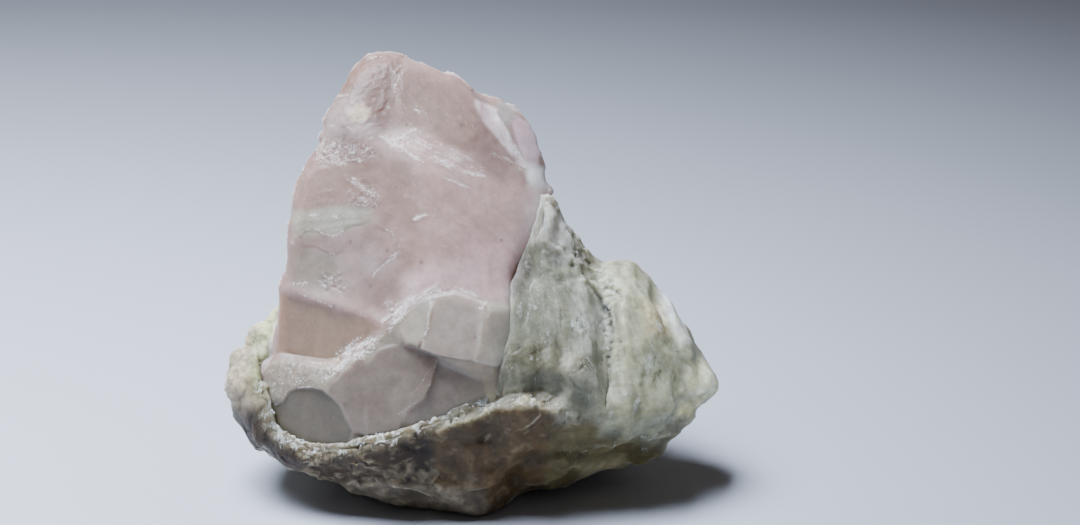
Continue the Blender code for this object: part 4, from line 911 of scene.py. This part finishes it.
def stoneMaterial(name, look):
    material = bpy.data.materials.new(name)
    material.use_nodes = True
    tree = material.node_tree
    tree.nodes.clear()
    place = addNode(tree, "TexCoord").outputs["Object"]
    tone = addNode(tree, "Attribute", attribute_name="tone").outputs["Color"]
    frost, shine, fleck = [addNode(tree, "Attribute", attribute_name=mark).outputs["Fac"]
                           for mark in ("frost", "shine", "fleck")]

    # cloudy drift of colour inside the stone, coarse and fine
    drift = remapNode(tree, noiseNode(tree, place, look["driftSize"]), 0.3, 0.7)
    grain = noiseNode(tree, place, look["grainSize"], 6.0, 0.68)
    body = mixColours(tree, drift, flatColour(look["driftDark"]), flatColour(look["driftLight"]))
    body = mixColours(tree, 1.0, tone, body, "MULTIPLY")
    deep = look["grainDepth"]
    body = timesGrey(tree, body, remapNode(tree, grain, 0.3, 0.7, 1 - deep, 1 + deep))

    # white broken crystal: frost breaks up into flecks, each with its own brightness
    drawn = addNode(tree, "VectorMath", {0: place, 1: look["frostStretch"]}, operation="MULTIPLY").outputs[0]
    fine = remapNode(tree, noiseNode(tree, drawn, look["frostSize"], 3.0, 0.7), 0.3, 0.7)
    coarse = remapNode(tree, noiseNode(tree, drawn, look["frostSize"] * 5, 2.0), 0.35, 0.65, 0.6, 1.1)
    cover = remapNode(tree, mathNode(tree, "ADD", fine, mathNode(tree, "MULTIPLY", frost, coarse)),
                      look["frostFrom"], look["frostTo"])
    cells = addNode(tree, "TexVoronoi", {"Vector": drawn, "Scale": 1000 / look["sparkSize"]})
    spark = remapNode(tree, addNode(tree, "SeparateColor", {0: cells.outputs["Color"]}).outputs[0],
                      0.0, 1.0, look["frostLow"], look["frostHigh"])
    white = timesGrey(tree, flatColour(look["frostTone"]), spark)
    colour = mixColours(tree, mathNode(tree, "MULTIPLY", cover, look["frostCover"]), body, white)
    colour = mixColours(tree, mathNode(tree, "MULTIPLY", fleck, 0.8), colour, flatColour(look["fleckTone"]))

    # duller where broken, and a fine bump
    dull = remapNode(tree, shine, 0.0, 1.0, look["roughDull"], look["roughShiny"])
    rough = mathNode(tree, "ADD", dull, mathNode(tree, "MULTIPLY", cover, look["frostRough"]), clamp=True)
    rough = mathNode(tree, "ADD", rough, remapNode(tree, grain, 0.3, 0.7, -0.05, 0.05), clamp=True)
    relief = mathNode(tree, "MULTIPLY", noiseNode(tree, place, look["bumpSize"], 5.0, 0.65),
                      remapNode(tree, shine, 0.0, 1.0, 1.0, 0.25))
    relief = mathNode(tree, "ADD", relief, mathNode(tree, "MULTIPLY", cover, cells.outputs["Distance"]))
    bump = addNode(tree, "Bump", {"Height": relief, "Strength": look["bumpStrength"], "Distance": 0.0002})
    surface = addNode(tree, "BsdfPrincipled", {
        "Base Color": colour, "Roughness": rough, "Normal": bump.outputs[0],
        "Specular IOR Level": look["specular"], "IOR": look["ior"],
        "Subsurface Weight": look["glow"], "Subsurface Radius": look["glowReach"],
        "Subsurface Scale": look["glowScale"],
        "Coat Weight": look["coat"], "Coat Roughness": look["coatRough"]})
    out = addNode(tree, "OutputMaterial")
    tree.links.new(surface.outputs[0], out.inputs[0])
    return material


def closeSeam(crystal, matrix):  # the crystal fills its socket, with no dark gap round it
    reach = crystal.look["seamReach"]
    tree = skinTree(matrix)
    near = np.full(len(crystal.points), reach)
    for i, point in enumerate(crystal.points.tolist()):
        hit = tree.find_nearest(point, reach)
        if hit[0] is not None:
            near[i] = hit[3]
    amount = crystal.look["seamFill"] * (1 - ramp(near, 0.6, reach))
    crystal.points[:, :2] += crystal.normals[:, :2] * amount[:, None]


def finishStone(skin, material, nodeName):
    writeSkin(skin)
    piece = skin.piece
    piece.data.materials.clear()
    piece.data.materials.append(material)
    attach(piece, "root")
    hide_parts(nodeName)
    print(piece.name, "done,", sum(len(p.vertices) - 2 for p in piece.data.polygons), "triangles")


crystal = readSkin(denseCopy("morganite_crystal", "morganiteCrystal", crystalLook), crystalLook)
matrix = readSkin(denseCopy("albite_matrix", "albiteMatrix", matrixLook), matrixLook)
print("both stones meshed")
closeSeam(crystal, matrix)
shapeCrystal(crystal)
finishStone(crystal, stoneMaterial("cloudyMorganite", crystalLook), "morganite_crystal")
shapeMatrix(matrix, crystal)
finishStone(matrix, stoneMaterial("bladedAlbite", matrixLook), "albite_matrix")

studio = {
    "floorTone": "#abaeb7", "floorSize": 4.0, "paperDrift": 60.0,    # metres, mm
    "keyPower": 3.15, "keySize": 0.30, "keyPlace": (-0.18, -0.02, 0.46), "keyAim": (-0.122, -0.03, 0.0),
    "keySpread": 77, "keyTint": (0.78, 0.86, 1.0),    # metres, degrees
    "fillTint": (1.0, 0.92, 0.87), "fillPower": 0.10,
    "lens": 107.1, "film": 36.0, "eye": (9.8, 35.5, 450.0),    # mm; the eye is in show-face places
}


def makeFloor():
    mesh = bpy.data.meshes.new("floorSheet")
    half = studio["floorSize"] / 2
    corners = [(-half, -half, 0), (half, -half, 0), (half, half, 0), (-half, half, 0)]
    mesh.from_pydata(corners, [], [(0, 1, 2, 3)])
    floor = bpy.data.objects.new("floorSheet", mesh)
    bpy.context.scene.collection.objects.link(floor)
    paper = bpy.data.materials.new("palePaper")
    paper.use_nodes = True
    tree = paper.node_tree
    shader = tree.nodes["Principled BSDF"]
    place = addNode(tree, "TexCoord").outputs["Object"]
    drift = remapNode(tree, noiseNode(tree, place, studio["paperDrift"]), 0.3, 0.7)
    tone = toLinear(studio["floorTone"])
    tree.links.new(mixColours(tree, drift, (*tone * 0.98, 1), (*tone, 1)), shader.inputs["Base Color"])
    shader.inputs["Roughness"].default_value = 0.6
    mesh.materials.append(paper)


def makeLight():
    key = bpy.data.lights.new("overheadSoftbox", "AREA")
    key.energy, key.size, key.color = studio["keyPower"], studio["keySize"], studio["keyTint"]
    key.spread = math.radians(studio["keySpread"])
    lamp = bpy.data.objects.new("overheadSoftbox", key)
    lamp.location = studio["keyPlace"]
    away = Vector(studio["keyPlace"]) - Vector(studio["keyAim"])
    lamp.rotation_euler = away.to_track_quat("Z", "Y").to_euler()
    bpy.context.scene.collection.objects.link(lamp)
    sky = bpy.data.worlds.new("dimRoom")
    sky.use_nodes = True
    sky.node_tree.nodes["Background"].inputs[0].default_value = (*studio["fillTint"], 1)
    sky.node_tree.nodes["Background"].inputs[1].default_value = studio["fillPower"]
    bpy.context.scene.world = sky


def makeCamera():
    camera = bpy.data.objects.new("camera", bpy.data.cameras.new("camera"))
    camera.data.lens, camera.data.sensor_width, camera.data.clip_start = studio["lens"], studio["film"], 0.01
    camera.location = faceToWorld @ Vector(studio["eye"])
    camera.rotation_euler = (math.radians(90 - showFace["lean"]), 0, 0)
    bpy.context.scene.collection.objects.link(camera)
    bpy.context.scene.camera = camera


makeFloor()
makeLight()
makeCamera()
print("floor, light and camera set")
bpy.context.view_layer.update()
